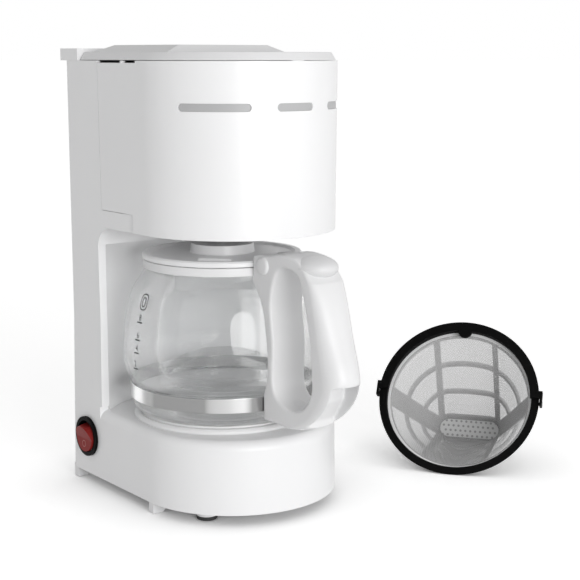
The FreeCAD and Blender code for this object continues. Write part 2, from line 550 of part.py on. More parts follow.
def filter_frame():
    """Moulded cage: ribs, hoops, side bars and end plate, as thick as its ribs."""
    start, end = FILTER_RIM_T, FILTER_DEPTH
    skin = basket_block(0, start, end).cut(basket_block(-FILTER_RIB_T, start - 0.01, end + 0.01))
    bars = []
    for u in (-FILTER_RIB_U, FILTER_RIB_U):
        bars.append(box(u - FILTER_RIB_W / 2, u + FILTER_RIB_W / 2, -REACH, REACH, start, end))
    bars.append(box(-REACH, REACH, -FILTER_SIDE_RIB_W / 2, FILTER_SIDE_RIB_W / 2, start, end))
    for depth in FILTER_HOOPS:
        bars.append(box(-REACH, REACH, -REACH, REACH, depth - FILTER_HOOP_T / 2, depth + FILTER_HOOP_T / 2))
    bars.append(box(-REACH, REACH, -REACH, REACH, end - 2 * FILTER_END_T, end))
    bars.append(box(-REACH, REACH, -REACH, REACH, start, start + FILTER_HOOP_T))
    cage = skin.common(fuse(bars))
    plate = Part.Face(stadium(FILTER_END_HALF_L, FILTER_END_HALF_W,
                              end - FILTER_END_T)).extrude(V(0, 0, FILTER_END_T))
    return fuse([cage, plate])


def filter_mesh():
    """Net lining laid inside the cage."""
    start, end = FILTER_RIM_T, FILTER_DEPTH - FILTER_END_T
    inset = FILTER_RIB_T + MESH_GAP
    outer = basket_block(-inset, start, FILTER_DEPTH)
    inner = basket_block(-inset - MESH_T, start - 0.01, FILTER_DEPTH + 0.01)
    return outer.cut(inner).common(box(-REACH, REACH, -REACH, REACH, start, end))


def filter_bail():
    """Half-round lifting handle on the mouth; its ears turn on the rim's two pivots."""
    r1 = FILTER_R
    r0 = r1 - BAIL_W
    z0, z1 = -BAIL_GAP - BAIL_T, -BAIL_GAP
    bow = revolve([(r0, z0), (r1, z0), (r1, z1), (r0, z1)])
    bow = bow.common(box(-REACH, REACH, -REACH, -EAR_R, -REACH, REACH))
    tab = upright(0, -r0, z0, z1, BAIL_TAB_R)
    tab = tab.common(upright(0, 0, z0, z1, r1))
    ears = []
    for side in (-1, 1):
        x0, x1 = sorted((side * (FILTER_R + BAIL_GAP), side * (FILTER_R + BAIL_GAP + EAR_T)))
        eye = rod((x0, 0, FILTER_RIM_T / 2), (x1, 0, FILTER_RIM_T / 2), EAR_R)
        stem = box(x0, x1, -3 * EAR_R, EAR_R, z0, FILTER_RIM_T / 2)
        b0, b1 = sorted((side * (FILTER_R - BAIL_W / 2), side * (FILTER_R + BAIL_GAP + EAR_T)))
        bridge = box(b0, b1, -3 * EAR_R, -EAR_R, z0, z1)
        ears += [eye, stem, bridge]
    bail = fuse([bow, tab] + ears)
    span = FILTER_R + REACH
    return bail.cut(rod((-span, 0, FILTER_RIM_T / 2), (span, 0, FILTER_RIM_T / 2), PIVOT_R + PIVOT_RUN))


# Funnel and drip valve


def funnel_bowl(grow, floor_z):
    """Cone from the filter's seat down to a round floor that takes its end plate either way round."""
    mouth_r = FILTER_BORE_R + FUNNEL_GAP + grow
    floor_r = FILTER_END_HALF_L + FUNNEL_GAP + grow
    return revolve([(0, floor_z), (floor_r, floor_z), (mouth_r, FUNNEL_SEAT_Z), (0, FUNNEL_SEAT_Z)], 0,
                   FUNNEL_Y)


def funnel_collar():
    """Ring round the filter's rim, flat towards the tank and open where the bail's ears sit."""
    r0 = FILTER_R + FUNNEL_RIM_GAP
    collar = upright(0, FUNNEL_Y, FUNNEL_SEAT_Z - FUNNEL_T, FUNNEL_TOP_Z, r0 + FUNNEL_T)
    collar = collar.cut(upright(0, FUNNEL_Y, FUNNEL_SEAT_Z, FUNNEL_TOP_Z, r0))
    ear_room = 3 * EAR_R + FUNNEL_GAP
    collar = collar.cut(box(-REACH, REACH, FUNNEL_Y - ear_room, FUNNEL_Y + ear_room, FUNNEL_SEAT_Z,
                            FUNNEL_TOP_Z))
    return collar.common(box(-REACH, REACH, -REACH, SEAM_Y - FUNNEL_REAR_GAP, 0, REACH))


def brew_funnel():
    floor_z = funnel_floor_z() - FUNNEL_T
    skirt = upright(0, CARAFE_Y, OUTLET_BOTTOM_Z, floor_z + FUNNEL_T, OUTLET_SKIRT_R)
    foot = upright(0, CARAFE_Y, HEAD_Z + WALL, floor_z + FUNNEL_T, FOOT_RING_R)
    bore_r = OUTLET_SKIRT_R - OUTLET_SKIRT_T
    hollow = upright(0, CARAFE_Y, 0, floor_z, bore_r)
    guide_z = OUTLET_BOTTOM_Z
    guide = upright(0, CARAFE_Y, guide_z, guide_z + GUIDE_T, GUIDE_R)
    web = box(-bore_r - 1, bore_r + 1, CARAFE_Y - WEB_T / 2, CARAFE_Y + WEB_T / 2, guide_z, guide_z + GUIDE_T)
    body = fuse([funnel_bowl(FUNNEL_T, floor_z), funnel_collar(), skirt, foot])
    body = body.cut(funnel_bowl(0, funnel_floor_z())).cut(hollow)
    body = fuse([body, guide, web])
    return body.cut(upright(0, CARAFE_Y, guide_z - 1, FUNNEL_SEAT_Z, VALVE_R + VALVE_RUN))


def funnel_floor_z():
    return FUNNEL_SEAT_Z + FILTER_RIM_T - FILTER_DEPTH - FUNNEL_GAP


def drip_valve():
    """Plunger, held up by the carafe's lid at rest; it drops to shut the outlet."""
    tip = LID_BOSS_Z + VALVE_TIP_GAP
    head_z = funnel_floor_z() + VALVE_LIFT + SEAL_T
    stem = upright(0, CARAFE_Y, tip + 2, head_z, VALVE_R)
    foot = Part.makeCone(VALVE_R - 1.5, VALVE_R, 2, V(0, CARAFE_Y, tip), V(0, 0, 1))
    z0 = stem_collar_z()
    collar = upright(0, CARAFE_Y, z0, z0 + STEM_COLLAR_T, STEM_COLLAR_R)
    return fuse([stem, foot, collar, upright(0, CARAFE_Y, head_z, head_z + SEAL_T, VALVE_SEAT_R)])


def stem_collar_z():
    return OUTLET_BOTTOM_Z + GUIDE_T + VALVE_LIFT + STEM_COLLAR_GAP


def drip_valve_seal():
    z0 = funnel_floor_z() + VALVE_LIFT
    return revolve([(VALVE_R, z0), (VALVE_SEAT_R - 0.5, z0), (VALVE_SEAT_R - 0.5, z0 + SEAL_T),
                    (VALVE_R, z0 + SEAL_T)],
                   0, CARAFE_Y)


def drip_spring():
    """Return spring between the stem's collar and the funnel's floor, as one wound wire."""
    low = stem_collar_z() + STEM_COLLAR_T + SPRING_WIRE_R
    high = funnel_floor_z() - FUNNEL_T - SPRING_WIRE_R
    pitch = (high - low) / SPRING_TURNS

    def on_coil(turn):
        a = 2 * math.pi * turn
        return V(SPRING_R * math.cos(a), CARAFE_Y + SPRING_R * math.sin(a), low + pitch * turn)

    steps = [i / 4 for i in range(4 * SPRING_TURNS)]
    arcs = [Part.Arc(on_coil(t), on_coil(t + 0.125), on_coil(t + 0.25)).toShape() for t in steps]
    print("drip_spring gap between turns", round(pitch - 2 * SPRING_WIRE_R, 2))
    return sweep(Part.Wire(arcs), SPRING_WIRE_R)


# Carafe


def glass_outline(inset):
    """Outside of the glass as (radius, height), or its inside when drawn in."""
    low = PLATE_TOP_Z + GLASS_GAP + inset
    rises = [GLASS_WAIST_Z + rise for rise in GLASS_RISES]
    radii = [GLASS_FOOT_R, GLASS_FOOT_R, GLASS_FOOT_R + GLASS_FLARE, GLASS_MAX_R, GLASS_MAX_R - GLASS_LEAN,
             GLASS_NECK_R + GLASS_SHOULDER, GLASS_NECK_R + GLASS_THROAT, GLASS_NECK_R]
    points = list(zip(radii, rises))
    side = Part.BSplineCurve()
    side.interpolate([V(r - inset, 0, z) for r, z in points])
    foot = Part.BSplineCurve()
    heel_r, bend = GLASS_FOOT_R - GLASS_HEEL, GLASS_HEEL_BEND
    foot.interpolate([V(heel_r, 0, low), V(GLASS_FOOT_R - bend[0] - inset, 0, low + bend[1]),
                      V(points[0][0] - inset, 0, points[0][1])])
    floor = Part.LineSegment(V(0, 0, low), V(heel_r, 0, low))
    neck = Part.LineSegment(V(GLASS_NECK_R - inset, 0, rises[-1]), V(GLASS_NECK_R - inset, 0, GLASS_TOP_Z))
    return [curve.toShape() for curve in (floor, foot, side, neck)], low


def glass_block(inset):
    edges, low = glass_outline(inset)
    top = V(GLASS_NECK_R - inset, 0, GLASS_TOP_Z)
    edges.append(Part.LineSegment(top, V(0, 0, GLASS_TOP_Z)).toShape())
    edges.append(Part.LineSegment(V(0, 0, GLASS_TOP_Z), V(0, 0, low)).toShape())
    solid = Part.Face(Part.Wire(edges)).revolve(V(0, 0, 0), V(0, 0, 1), 360)
    solid.translate(V(0, CARAFE_Y, 0))
    return solid


def carafe_glass():
    return glass_block(0).cut(glass_block(GLASS_T))


def carafe_collar():
    r0 = GLASS_NECK_R + COLLAR_GAP
    ring = revolve([(r0, COLLAR_Z0), (COLLAR_R, COLLAR_Z0), (COLLAR_R, COLLAR_Z1), (r0, COLLAR_Z1)], 0,
                   CARAFE_Y)
    return ring.cut(glass_block(-COLLAR_GAP))


def carafe_foot_band():
    r0 = GLASS_FOOT_R + BAND_GAP
    return revolve([(r0, BAND_Z0), (r0 + BAND_T, BAND_Z0), (r0 + BAND_T, BAND_Z1), (r0, BAND_Z1)], 0,
                   CARAFE_Y)


def carafe_lid():
    z0, z1 = LID_Z0, LID_Z0 + LID_RIM_H
    plug_r = GLASS_NECK_R - GLASS_T - LID_PLUG_GAP
    boss_foot = LID_BOSS_R + 1.0
    top = [(LID_R, z0), (LID_R, z1 - 1), (LID_R - 1, z1), (LID_FLOOR_R + 2, z1), (LID_FLOOR_R, z0 + LID_T),
           (boss_foot, z0 + LID_T + 1), (LID_BOSS_R, LID_BOSS_Z - LID_DOME), (0, LID_BOSS_Z)]
    under = [(0, LID_BOSS_Z - LID_T), (LID_BOSS_R - LID_T, LID_BOSS_Z - LID_DOME - LID_T),
             (boss_foot - LID_T, z0),
             (plug_r - LID_T, z0), (plug_r - LID_T, z0 - LID_PLUG_DEPTH),
             (plug_r, z0 - LID_PLUG_DEPTH), (plug_r, z0)]
    lid = revolve(top + under, 0, CARAFE_Y)
    lug = rod((-HINGE_LUG_HALF_W, HINGE_Y, HINGE_Z), (HINGE_LUG_HALF_W, HINGE_Y, HINGE_Z), HINGE_R)
    arm = box(-HINGE_LUG_HALF_W, HINGE_LUG_HALF_W, HINGE_Y, CARAFE_Y - LID_FLOOR_R - 2, z1 - LID_T,
              HINGE_Z + HINGE_R - 1)
    hole = rod((-REACH, HINGE_Y, HINGE_Z), (REACH, HINGE_Y, HINGE_Z), HINGE_PIN_R)
    return fuse([lid, lug, arm]).cut(hole)


def spline_face(points):
    curve = Part.BSplineCurve()
    curve.interpolate([V(0, y, z) for y, z in points], PeriodicFlag=True)
    return Part.Face(Part.Wire([curve.toShape()]))


def carafe_handle():
    """Hollow loop in the middle plane, fitted round the glass, collar, band and lid hinge."""
    loop = spline_face(HANDLE_CREST).extrude(V(2 * HANDLE_HALF_W, 0, 0))
    gap = spline_face(FINGER_GAP).extrude(V(2 * HANDLE_HALF_W, 0, 0))
    handle = loop.cut(gap)
    handle.translate(V(-HANDLE_HALF_W, 0, 0))
    handle = handle.cut(glass_block(-HANDLE_GAP))
    band_r = GLASS_FOOT_R + BAND_GAP + BAND_T + HANDLE_GAP
    handle = handle.cut(upright(0, CARAFE_Y, 0, GLASS_WAIST_Z + 1, band_r))
    handle = handle.cut(upright(0, CARAFE_Y, COLLAR_Z0 - 1, LID_Z0, COLLAR_R + HANDLE_GAP))
    handle = handle.cut(upright(0, CARAFE_Y, LID_Z0 - 1, REACH, LID_R + HANDLE_GAP))
    slot = HINGE_LUG_HALF_W + HINGE_SIDE_GAP
    lug_room = HINGE_R + HINGE_SIDE_GAP
    handle = handle.cut(box(-slot, slot, HINGE_Y - lug_room, 0, HINGE_Z - lug_room, REACH))
    handle = handle.cut(rod((-REACH, HINGE_Y, HINGE_Z), (REACH, HINGE_Y, HINGE_Z), HINGE_PIN_R))
    handle = handle.cut(rod((0, -REACH, HANDLE_SCREW_Z), (0, 0, HANDLE_SCREW_Z), SCREW_R))
    seat = handle_screw_seat()
    head_room = rod((0, seat - HEAD_ROOM_RUN, HANDLE_SCREW_Z), (0, seat, HANDLE_SCREW_Z),
                    SCREW_HEAD_R + HANDLE_SCREW_ROOM)
    return max(handle.cut(head_room).Solids, key=lambda solid: solid.Volume)


def handle_screw_seat():
    return CARAFE_Y - GLASS_FOOT_R - BAND_GAP - BAND_T - HANDLE_GAP - HANDLE_SCREW_GRIP


def carafe_lid_pin():
    end = HANDLE_HALF_W - HANDLE_PIN_INSET
    return rod((-end, HINGE_Y, HINGE_Z), (end, HINGE_Y, HINGE_Z), HINGE_PIN_R)


def handle_screw():
    seat = handle_screw_seat()
    head = rod((0, seat - SCREW_HEAD_T, HANDLE_SCREW_Z), (0, seat, HANDLE_SCREW_Z), SCREW_HEAD_R)
    tip = CARAFE_Y - GLASS_FOOT_R - BAND_GAP - BAND_T
    return head.fuse(rod((0, seat, HANDLE_SCREW_Z), (0, tip - 0.1, HANDLE_SCREW_Z), SCREW_R))


# Top lid


def lid_block(inset, z0, z1, rear):
    """Lid plan, tapering upwards, cut off straight at the rear."""
    half_w, rear_y = level(TOP_Z)
    wires = []
    for z, slope in ((z0, 0.0), (z1, TOP_LID_SLOPE)):
        draw = TOP_LID_INSET + inset + slope
        wires.append(d_outline(half_w - draw, rear_y, REAR_CORNER_R, z))
    return Part.makeLoft(wires, True, True).common(box(-REACH, REACH, -REACH, rear, 0, REACH))


def plateau():
    rear = BLOCK_Y0 - BLOCK_GAP - PLATEAU_FRONT_SLOPE

    def ring(shrink_side, shrink_front, shrink_rear, z):
        front_w, rear_w = PLATEAU_FRONT_HALF_W - shrink_side, PLATEAU_REAR_HALF_W - shrink_side
        y0, y1 = PLATEAU_FRONT_Y + shrink_front, rear - shrink_rear
        corners = [V(front_w, y0, z), V(rear_w, y1, z), V(-rear_w, y1, z), V(-front_w, y0, z)]
        return Part.makePolygon(corners + corners[:1])

    low = ring(0, 0, 0, TOP_LID_EDGE_Z)
    high = ring(PLATEAU_SIDE_SLOPE, PLATEAU_FRONT_SLOPE, PLATEAU_REAR_SLOPE, PLATEAU_Z)
    return Part.makeLoft([low, high], True, True)


def top_lid():
    rear = BLOCK_Y0 - BLOCK_GAP
    z0 = TOP_Z + TOP_LID_GAP
    lid = lid_block(0, z0, TOP_LID_EDGE_Z, rear)
    lid = lid.cut(lid_block(TOP_LID_T, z0, TOP_LID_EDGE_Z - TOP_LID_T, rear - TOP_LID_T))
    parts = [lid, plateau()]
    for x in (-LUG_X, LUG_X):
        parts.append(box(x - LUG_HALF_W, x + LUG_HALF_W, rear - TOP_LID_T, LID_PIN_Y, LID_PIN_Z - LUG_R + 0.6,
                         TOP_LID_EDGE_Z))
        parts.append(rod((x - LUG_HALF_W, LID_PIN_Y, LID_PIN_Z), (x + LUG_HALF_W, LID_PIN_Y, LID_PIN_Z),
                         LUG_R))
    return fuse(parts).cut(rod((-REACH, LID_PIN_Y, LID_PIN_Z), (REACH, LID_PIN_Y, LID_PIN_Z),
                               LID_PIN_R + LID_PIN_RUN))


def lid_hinge_block():
    half_w, rear_y = level(TOP_Z)
    rear = rear_y + BLOCK_OVERHANG
    block = box(-half_w - 0.6, half_w + 0.6, BLOCK_Y0, rear, TOP_Z, BLOCK_TOP_Z)
    uprights = [e for e in block.Edges if abs(e.BoundBox.ZLength) > 1 and e.BoundBox.YMin > rear - 0.1]
    block = block.makeFillet(BLOCK_CORNER_R, uprights)
    room = LUG_R + LUG_SIDE_GAP
    for x in (-LUG_X, LUG_X):
        side = LUG_HALF_W + LUG_SIDE_GAP
        block = block.cut(box(x - side, x + side, 0, LID_PIN_Y + room, TOP_Z, TOP_Z + REACH))
        block = block.cut(lid_hinge_pin(x))
    return block


def lid_hinge_pin(x):
    reach = LUG_HALF_W + PIN_GRIP
    return rod((x - reach, LID_PIN_Y, LID_PIN_Z), (x + reach, LID_PIN_Y, LID_PIN_Z), LID_PIN_R)


def lid_hinge_pins():
    return [lid_hinge_pin(x) for x in (-LUG_X, LUG_X)]


def shower_plate():
    """Cup under the lid that spreads the hot water over the filter."""
    top = TOP_LID_EDGE_Z - TOP_LID_T
    cup = upright(0, 0, SHOWER_Z, top, SHOWER_R).cut(upright(0, 0, SHOWER_Z + SHOWER_T, top,
                                                             SHOWER_R - SHOWER_T))
    holes = [upright(0, 0, 0, REACH, SHOWER_HOLE_R)]
    for radius, count in SHOWER_RINGS:
        for i in range(count):
            a = 2 * math.pi * i / count
            holes.append(upright(radius * math.cos(a), radius * math.sin(a), 0, SHOWER_Z + 2 * SHOWER_T,
                                 SHOWER_HOLE_R))
    mouth = box(SPOUT_END[0] - SHOWER_MOUTH / 2, SPOUT_END[0] + SHOWER_MOUTH / 2, 0, REACH,
                SHOWER_Z + SHOWER_T, REACH)
    return cup.cut(Part.makeCompound(holes)).cut(mouth)


# Switch and mains inlet


def along_x(x0, x1, radius):
    """Cylinder on the switch's axis; x is the distance from the middle plane on the switch's side."""
    return rod((-x0, SWITCH_Y, SWITCH_Z), (-x1, SWITCH_Y, SWITCH_Z), radius)


def switch_bezel():
    face = level(SWITCH_Z)[0] + 0.3
    shell = along_x(face - SWITCH_DEPTH, face, SWITCH_R).fuse(
        along_x(face, face + SWITCH_FLANGE_T, SWITCH_FLANGE_R))
    shell = shell.cut(along_x(face - SWITCH_DEPTH + SWITCH_WALL, face + SWITCH_FLANGE_T + 1,
                              SWITCH_R - SWITCH_WALL))
    return shell.cut(switch_pivot_pin())


def switch_pivot_pin():
    y = SWITCH_R - SWITCH_WALL / 3
    return rod((-ROCKER_PIN_X, SWITCH_Y - y, SWITCH_Z), (-ROCKER_PIN_X, SWITCH_Y + y, SWITCH_Z), ROCKER_PIN_R)


def switch_rocker():
    """Rocker with a dished face, resting with its upper end out."""
    h, front, back = ROCKER_HALF_H, ROCKER_FRONT, ROCKER_BACK
    outline = [V(back, 0, -h + 2), V(-front, 0, -h), V(-front + ROCKER_HOLLOW, 0, 0), V(-front, 0, h),
               V(back, 0, h - 2)]
    block = Part.Face(Part.makePolygon(outline + outline[:1])).extrude(V(0, 4 * ROCKER_R, 0))
    block.translate(V(0, -2 * ROCKER_R, 0))
    for tilt in (-ROCKER_TILT, ROCKER_TILT):
        room = rod((-REACH, 0, 0), (REACH, 0, 0), ROCKER_R)
        room.rotate(V(0, 0, 0), V(0, 1, 0), tilt)
        block = block.common(room)
    block = block.cut(rod((0, -REACH, 0), (0, REACH, 0), ROCKER_PIN_R + ROCKER_PIN_RUN))
    block.rotate(V(0, 0, 0), V(0, 1, 0), -ROCKER_TILT)
    block.translate(V(-ROCKER_PIN_X, SWITCH_Y, SWITCH_Z))
    return block


def switch_terminals():
    x = level(SWITCH_Z)[0] + 0.3 - SWITCH_DEPTH
    length, width, t = BLADE
    return [box(-x, -x + length, SWITCH_Y - width / 2, SWITCH_Y + width / 2, SWITCH_Z + z - t / 2,
                SWITCH_Z + z + t / 2)
            for z in BLADE_ZS]


def cord_gland():
    rear = level(GLAND_Z)[1]
    flange_r = GLAND_R + 2
    seat = level(GLAND_Z - flange_r)[1]
    flange = rod((GLAND_X, seat, GLAND_Z), (GLAND_X, rear + GLAND_FLANGE, GLAND_Z), flange_r)
    barrel = rod((GLAND_X, rear - GLAND_LENGTH, GLAND_Z), (GLAND_X, seat, GLAND_Z), GLAND_R - 0.05)
    bore = rod((GLAND_X, rear - REACH, GLAND_Z), (GLAND_X, REACH, GLAND_Z), GLAND_BORE_R)
    return fuse([flange, barrel]).cut(bore)


def terminal_block():
    w, depth, h = TERMINAL_SIZE
    z0 = RIM_Z + PLATE_T
    block = box(-w / 2, w / 2, TERMINAL_Y - depth / 2, TERMINAL_Y + depth / 2, z0, z0 + h)
    pitch = w / TERMINAL_WAYS
    for i in range(TERMINAL_WAYS):
        x = (i - (TERMINAL_WAYS - 1) / 2) * pitch
        block = block.cut(rod((x, 0, z0 + h / 2), (x, REACH, z0 + h / 2), TERMINAL_HOLE_R))
    return block


def main():
    os.makedirs("parts", exist_ok=True)
    export("main_housing", main_housing())
    export("brew_head_shell", brew_head_shell())
    export("base_plate", base_plate())
    export("front_foot_pads", front_foot_pads())
    export("base_screws", base_screws())
    export("hot_plate", hot_plate())
    export("hot_plate_ring", hot_plate_ring())
    export("heater_element", heater_element())
    export("heater_bracket", heater_bracket())
    export("heater_screws", heater_screws())
    export("thermostat", thermostat())
    export("thermal_fuses", thermal_fuses())
    export("water_tank", water_tank())
    export("tank_outlet_grommet", tank_outlet_grommet())
    export("check_valve_cage", check_valve_cage())
    export("check_valve_ball", check_valve_ball())
    export("cold_water_hose", hose(1))
    export("hot_water_hose", hose(-1))
    export("riser_tube", riser_tube())
    export("riser_spout", riser_spout())
    export("brew_funnel", brew_funnel())
    export("drip_valve", drip_valve())
    export("drip_valve_seal", drip_valve_seal())
    export("drip_spring", drip_spring())
    export("top_lid", top_lid())
    export("lid_shower_plate", shower_plate())
    export("lid_hinge_block", lid_hinge_block())
    export("lid_hinge_pins", lid_hinge_pins())
    export("switch_bezel", switch_bezel())
    export("switch_rocker", switch_rocker())
    export("switch_pivot_pin", switch_pivot_pin())
    export("switch_terminals", switch_terminals())
    export("cord_gland", cord_gland())
    export("terminal_block", terminal_block())
    export("carafe_glass", carafe_glass())
    export("carafe_collar", carafe_collar())
    export("carafe_foot_band", carafe_foot_band())
    export("carafe_lid", carafe_lid())
    export("carafe_handle", carafe_handle())
    export("carafe_lid_pin", carafe_lid_pin())
    export("handle_screw", handle_screw())
    export("filter_rim", place_filter(filter_rim()))
    export("filter_frame", place_filter(filter_frame()))
    export("filter_mesh", place_filter(filter_mesh()))
    export("filter_bail", place_filter(filter_bail()))


main()
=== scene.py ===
import bmesh
import bpy
import json
import math
from mathutils import Matrix, Vector
from mathutils.bvhtree import BVHTree


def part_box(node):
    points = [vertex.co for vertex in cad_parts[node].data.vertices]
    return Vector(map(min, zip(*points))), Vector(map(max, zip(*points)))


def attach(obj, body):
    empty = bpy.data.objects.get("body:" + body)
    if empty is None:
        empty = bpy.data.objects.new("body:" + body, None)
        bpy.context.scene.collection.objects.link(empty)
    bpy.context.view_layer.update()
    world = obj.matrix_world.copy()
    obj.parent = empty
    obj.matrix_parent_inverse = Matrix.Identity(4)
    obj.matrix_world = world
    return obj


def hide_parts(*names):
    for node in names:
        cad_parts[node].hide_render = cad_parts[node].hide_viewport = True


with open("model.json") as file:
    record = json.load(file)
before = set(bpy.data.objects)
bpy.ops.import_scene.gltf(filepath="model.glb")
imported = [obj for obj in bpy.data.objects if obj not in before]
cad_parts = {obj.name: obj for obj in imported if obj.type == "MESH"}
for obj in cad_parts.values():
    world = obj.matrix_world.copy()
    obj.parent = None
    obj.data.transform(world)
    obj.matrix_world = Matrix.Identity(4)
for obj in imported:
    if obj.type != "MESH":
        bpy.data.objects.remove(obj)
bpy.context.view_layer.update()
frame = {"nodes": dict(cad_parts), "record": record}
NODES = frame["nodes"]
RECORD = frame["record"]
SLOT_OF = {part["node"]: part["material_slot"] for part in RECORD["subparts"]}
BODY_OF = {node: body for body, nodes in RECORD["behaviour"]["bodies"].items() for node in nodes}
MM = 0.001

# Camera, found from the body's outline in the photograph
CAMERA_PLACE = (-0.4757, -0.6704, 0.2768)
CAMERA_PITCH, CAMERA_HEADING = -9.967, -37.8165
FOCAL_PX, FRAME_PX, SENSOR_MM = 1330.65, 580, 36.0
NEAREST_SEEN = 0.01

# Lamps as (name, place, width, watts), the point they face, and the light of the room
LAMPS = (("front_key", (-0.35, -1.65, 0.28), 0.9, 16.2), ("right_fill", (0.95, -1.20, 0.25), 0.7, 1.6))
LAMP_TARGET = Vector((0.03, 0.0, 0.13))
ROOM_LIGHT = 0.58

# Pale floor, its glow and how far its contact shadow reaches, and the grey card overhead
FLOOR_HALF, FLOOR_PLACE = 60.0, (0.0, 0.0, -0.0002)
FLOOR_TONE, FLOOR_GLOW, CONTACT_REACH = 0.85, 0.44, 0.05
CARD_HALF, CARD_PLACE, CARD_TONE = 0.36, (0.0, 0.03, 0.85), 0.2

# Base rim, and in millimetres the deck's round side edges, which end inside the column's front wall
RIM_Z, RIM_BAND, SKIRT_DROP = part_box("main_housing")[0].z, 0.05 * MM, 2.0 * MM
DECK_Z, DECK_HALF_W, DECK_EDGE_R, DECK_EDGE_RUN = 52.0, 63.55, 6.0, (-0.6, 59.9)
DECK_CUT_OVER, DECK_ARC_STEPS = 3.0, 10

# Rounding of the mouldings' edges: node, radius in millimetres and steps
EDGE_ROUNDS = (
    ("main_housing", 0.9, 3),
    ("brew_head_shell", 0.7, 3),
    ("top_lid", 0.9, 3),
    ("lid_hinge_block", 1.6, 4),
    ("base_plate", 0.6, 3),
    ("front_foot_pads", 0.8, 3),
    ("hot_plate", 0.6, 3),
    ("hot_plate_ring", 0.5, 3),
    ("switch_bezel", 0.7, 4),
    ("switch_rocker", 1.1, 4),
    ("brew_funnel", 0.4, 2),
    ("cord_gland", 0.6, 3),
    ("filter_rim", 0.8, 3),
    ("filter_bail", 0.7, 3),
    ("filter_frame", 0.4, 2),
    ("carafe_foot_band", 0.2, 2),
    ("carafe_collar", 0.8, 3),
    ("carafe_lid", 0.9, 3),
)
# Least angle of a rounded edge, most angle of a flat face's seams, and distances at which points are one
SHARP_EDGE, FLAT_SEAM = math.radians(32.0), math.radians(0.5)
SAME_CORNER, SAME_POLE = 2e-6, 1e-7

# Carafe's upright axis, its glass wall, and the glass's side as (radius, height) in millimetres
CARAFE_AXIS = Vector((0.0, 0.012, 0.0))
GLASS_WALL = 2.2 * MM
GLASS_PROFILE = ((50.0, 0.0), (56.6, 2.6), (59.0, 10.5), (59.0, 18.5), (61.6, 24.5), (63.6, 35.5),
                 (61.8, 57.5), (57.5, 75.5), (50.0, 87.5), (47.2, 93.5))

# Handle: middle line of the finger gap in the handle's own plane (y, z), half widths of gap and handle,
# the share of its depth kept at the sides, and how far forward of the gap the easing reaches
GAP_FOOT, GAP_HEAD = Vector((-0.076, 0.090)), Vector((-0.070, 0.146))
GAP_HALF_W, HANDLE_HALF_W, SIDE_SHARE, FRONT_LEAN = 18.0 * MM, 12.5 * MM, 0.45, 0.2
HANDLE_CELL, HANDLE_SMOOTHING = 0.7 * MM, 14
# Open underside of the spine as (y, z), and its half width, in millimetres
UNDER_OPENING = ((-88, 48), (-87.5, 67.5), (-96.2, 80), (-97.4, 98), (-99, 106), (-105, 106), (-108.5, 101),
                 (-112, 93.5), (-126, 86), (-126, 48))
UNDER_HALF_W = 10.2
# Screw way through the handle's foot, filled flush: (start y, end y, radius) at one height, in millimetres
SCREW_WAY_Z, SCREW_WAY = 70.5, ((-62.0, -75.5, 4.2), (-74.0, -96.0, 2.4))
# Where the crest is lowered, and by what share of its height at each y in millimetres
CREST_Z = 150.0 * MM
CREST_DROPS = ((-60.0, 0.0), (-72.0, 0.18), (-84.0, 0.22), (-100.0, 0.60), (-130.0, 0.70))
# Thumb rest (middle, half sizes), lid rib (two ends, radius) and lid knuckle (middle, radius, half width)
THUMB_REST = (Vector((0, -82.5, 157.2)) * MM, Vector((12.6, 13.0, 7.0)) * MM)
LID_RIB = (Vector((-33.0, -8.4, 155.0)) * MM, Vector((-18.6, -24.6, 155.0)) * MM, 2.1 * MM)
KNUCKLE = (Vector((0, -47.6, 154.8)) * MM, 5.6 * MM, 14.0 * MM)
ROD_END_R, ROD_END_STEPS, ROD_SHARP_EDGE = 2.0 * MM, 4, math.radians(40)

# Level marks printed on the glass: (azimuth in degrees, height in millimetres, figure)
LEVELS = ((179.4, 117.2, "8"), (179.0, 106.4, "6"), (178.6, 98.4, "4"), (177.4, 88.4, "2"))
TICK_SIZE = (0.85 * MM, 5.6 * MM, 0.06 * MM)
FIGURE_SIZE, FIGURE_RISE, INK_LIFT = 5.4 * MM, 1.2 * MM, 0.04 * MM
# Framed sign over the levels: azimuth, height, half width, half height, roundness, and its lines' insets
SIGN_AZIMUTH, SIGN_Z, SIGN_HALF_W, SIGN_HALF_H, SIGN_ROUND = 180.2, 129.6 * MM, 3.8 * MM, 4.9 * MM, 0.8
SIGN_LINES, SIGN_STEPS = ((0.0, 0.7 * MM), (1.9 * MM, 2.7 * MM)), 48

# Grey strips in the drum's slots: spans in degrees from the front, height, half height and radius
SLOT_SPANS, SLOT_STEPS = ((-64.4, -25.6), (-11.6, 11.6), (25.6, 64.4)), 40
SLOT_Z, SLOT_HALF_H, SLOT_R = 248.0 * MM, 2.25 * MM, 63.3 * MM

# Filter: the middle of its rim, the way down into it, the two ways across it, and its end plate's depth
FILTER_PLACE = Vector((160.3, -39.5, 45.7)) * MM
FILTER_DEPTH_WAY = Vector((0.6716, 0.4880, -0.5574))
FILTER_ACROSS, FILTER_DOWN = Vector((0.5878, -0.8090, 0.0)), Vector((-0.4510, -0.3277, -0.8302))
FILTER_PLATE_DEPTH = 65.0 * MM
# Dots moulded on the inside of the end plate, in staggered rows
DOT_DEPTH, DOT_PITCH, DOT_SIZE = 67.9 * MM, 3.6 * MM, (1.7 * MM, 1.7 * MM, 0.5 * MM)
DOT_ROWS, DOT_REACH, DOT_STAGGER = (-1.5, -0.5, 0.5, 1.5), 5, 0.25

# Ring mark near the rocker's lower end: height over its foot, outer and inner radius
ROCKER_MARK_RISE, ROCKER_MARK_RADII = 5.2 * MM, (2.3 * MM, 1.75 * MM)
ROCKER_MARK_STEPS, ROCKER_MARK_LIFT = 32, 0.05 * MM

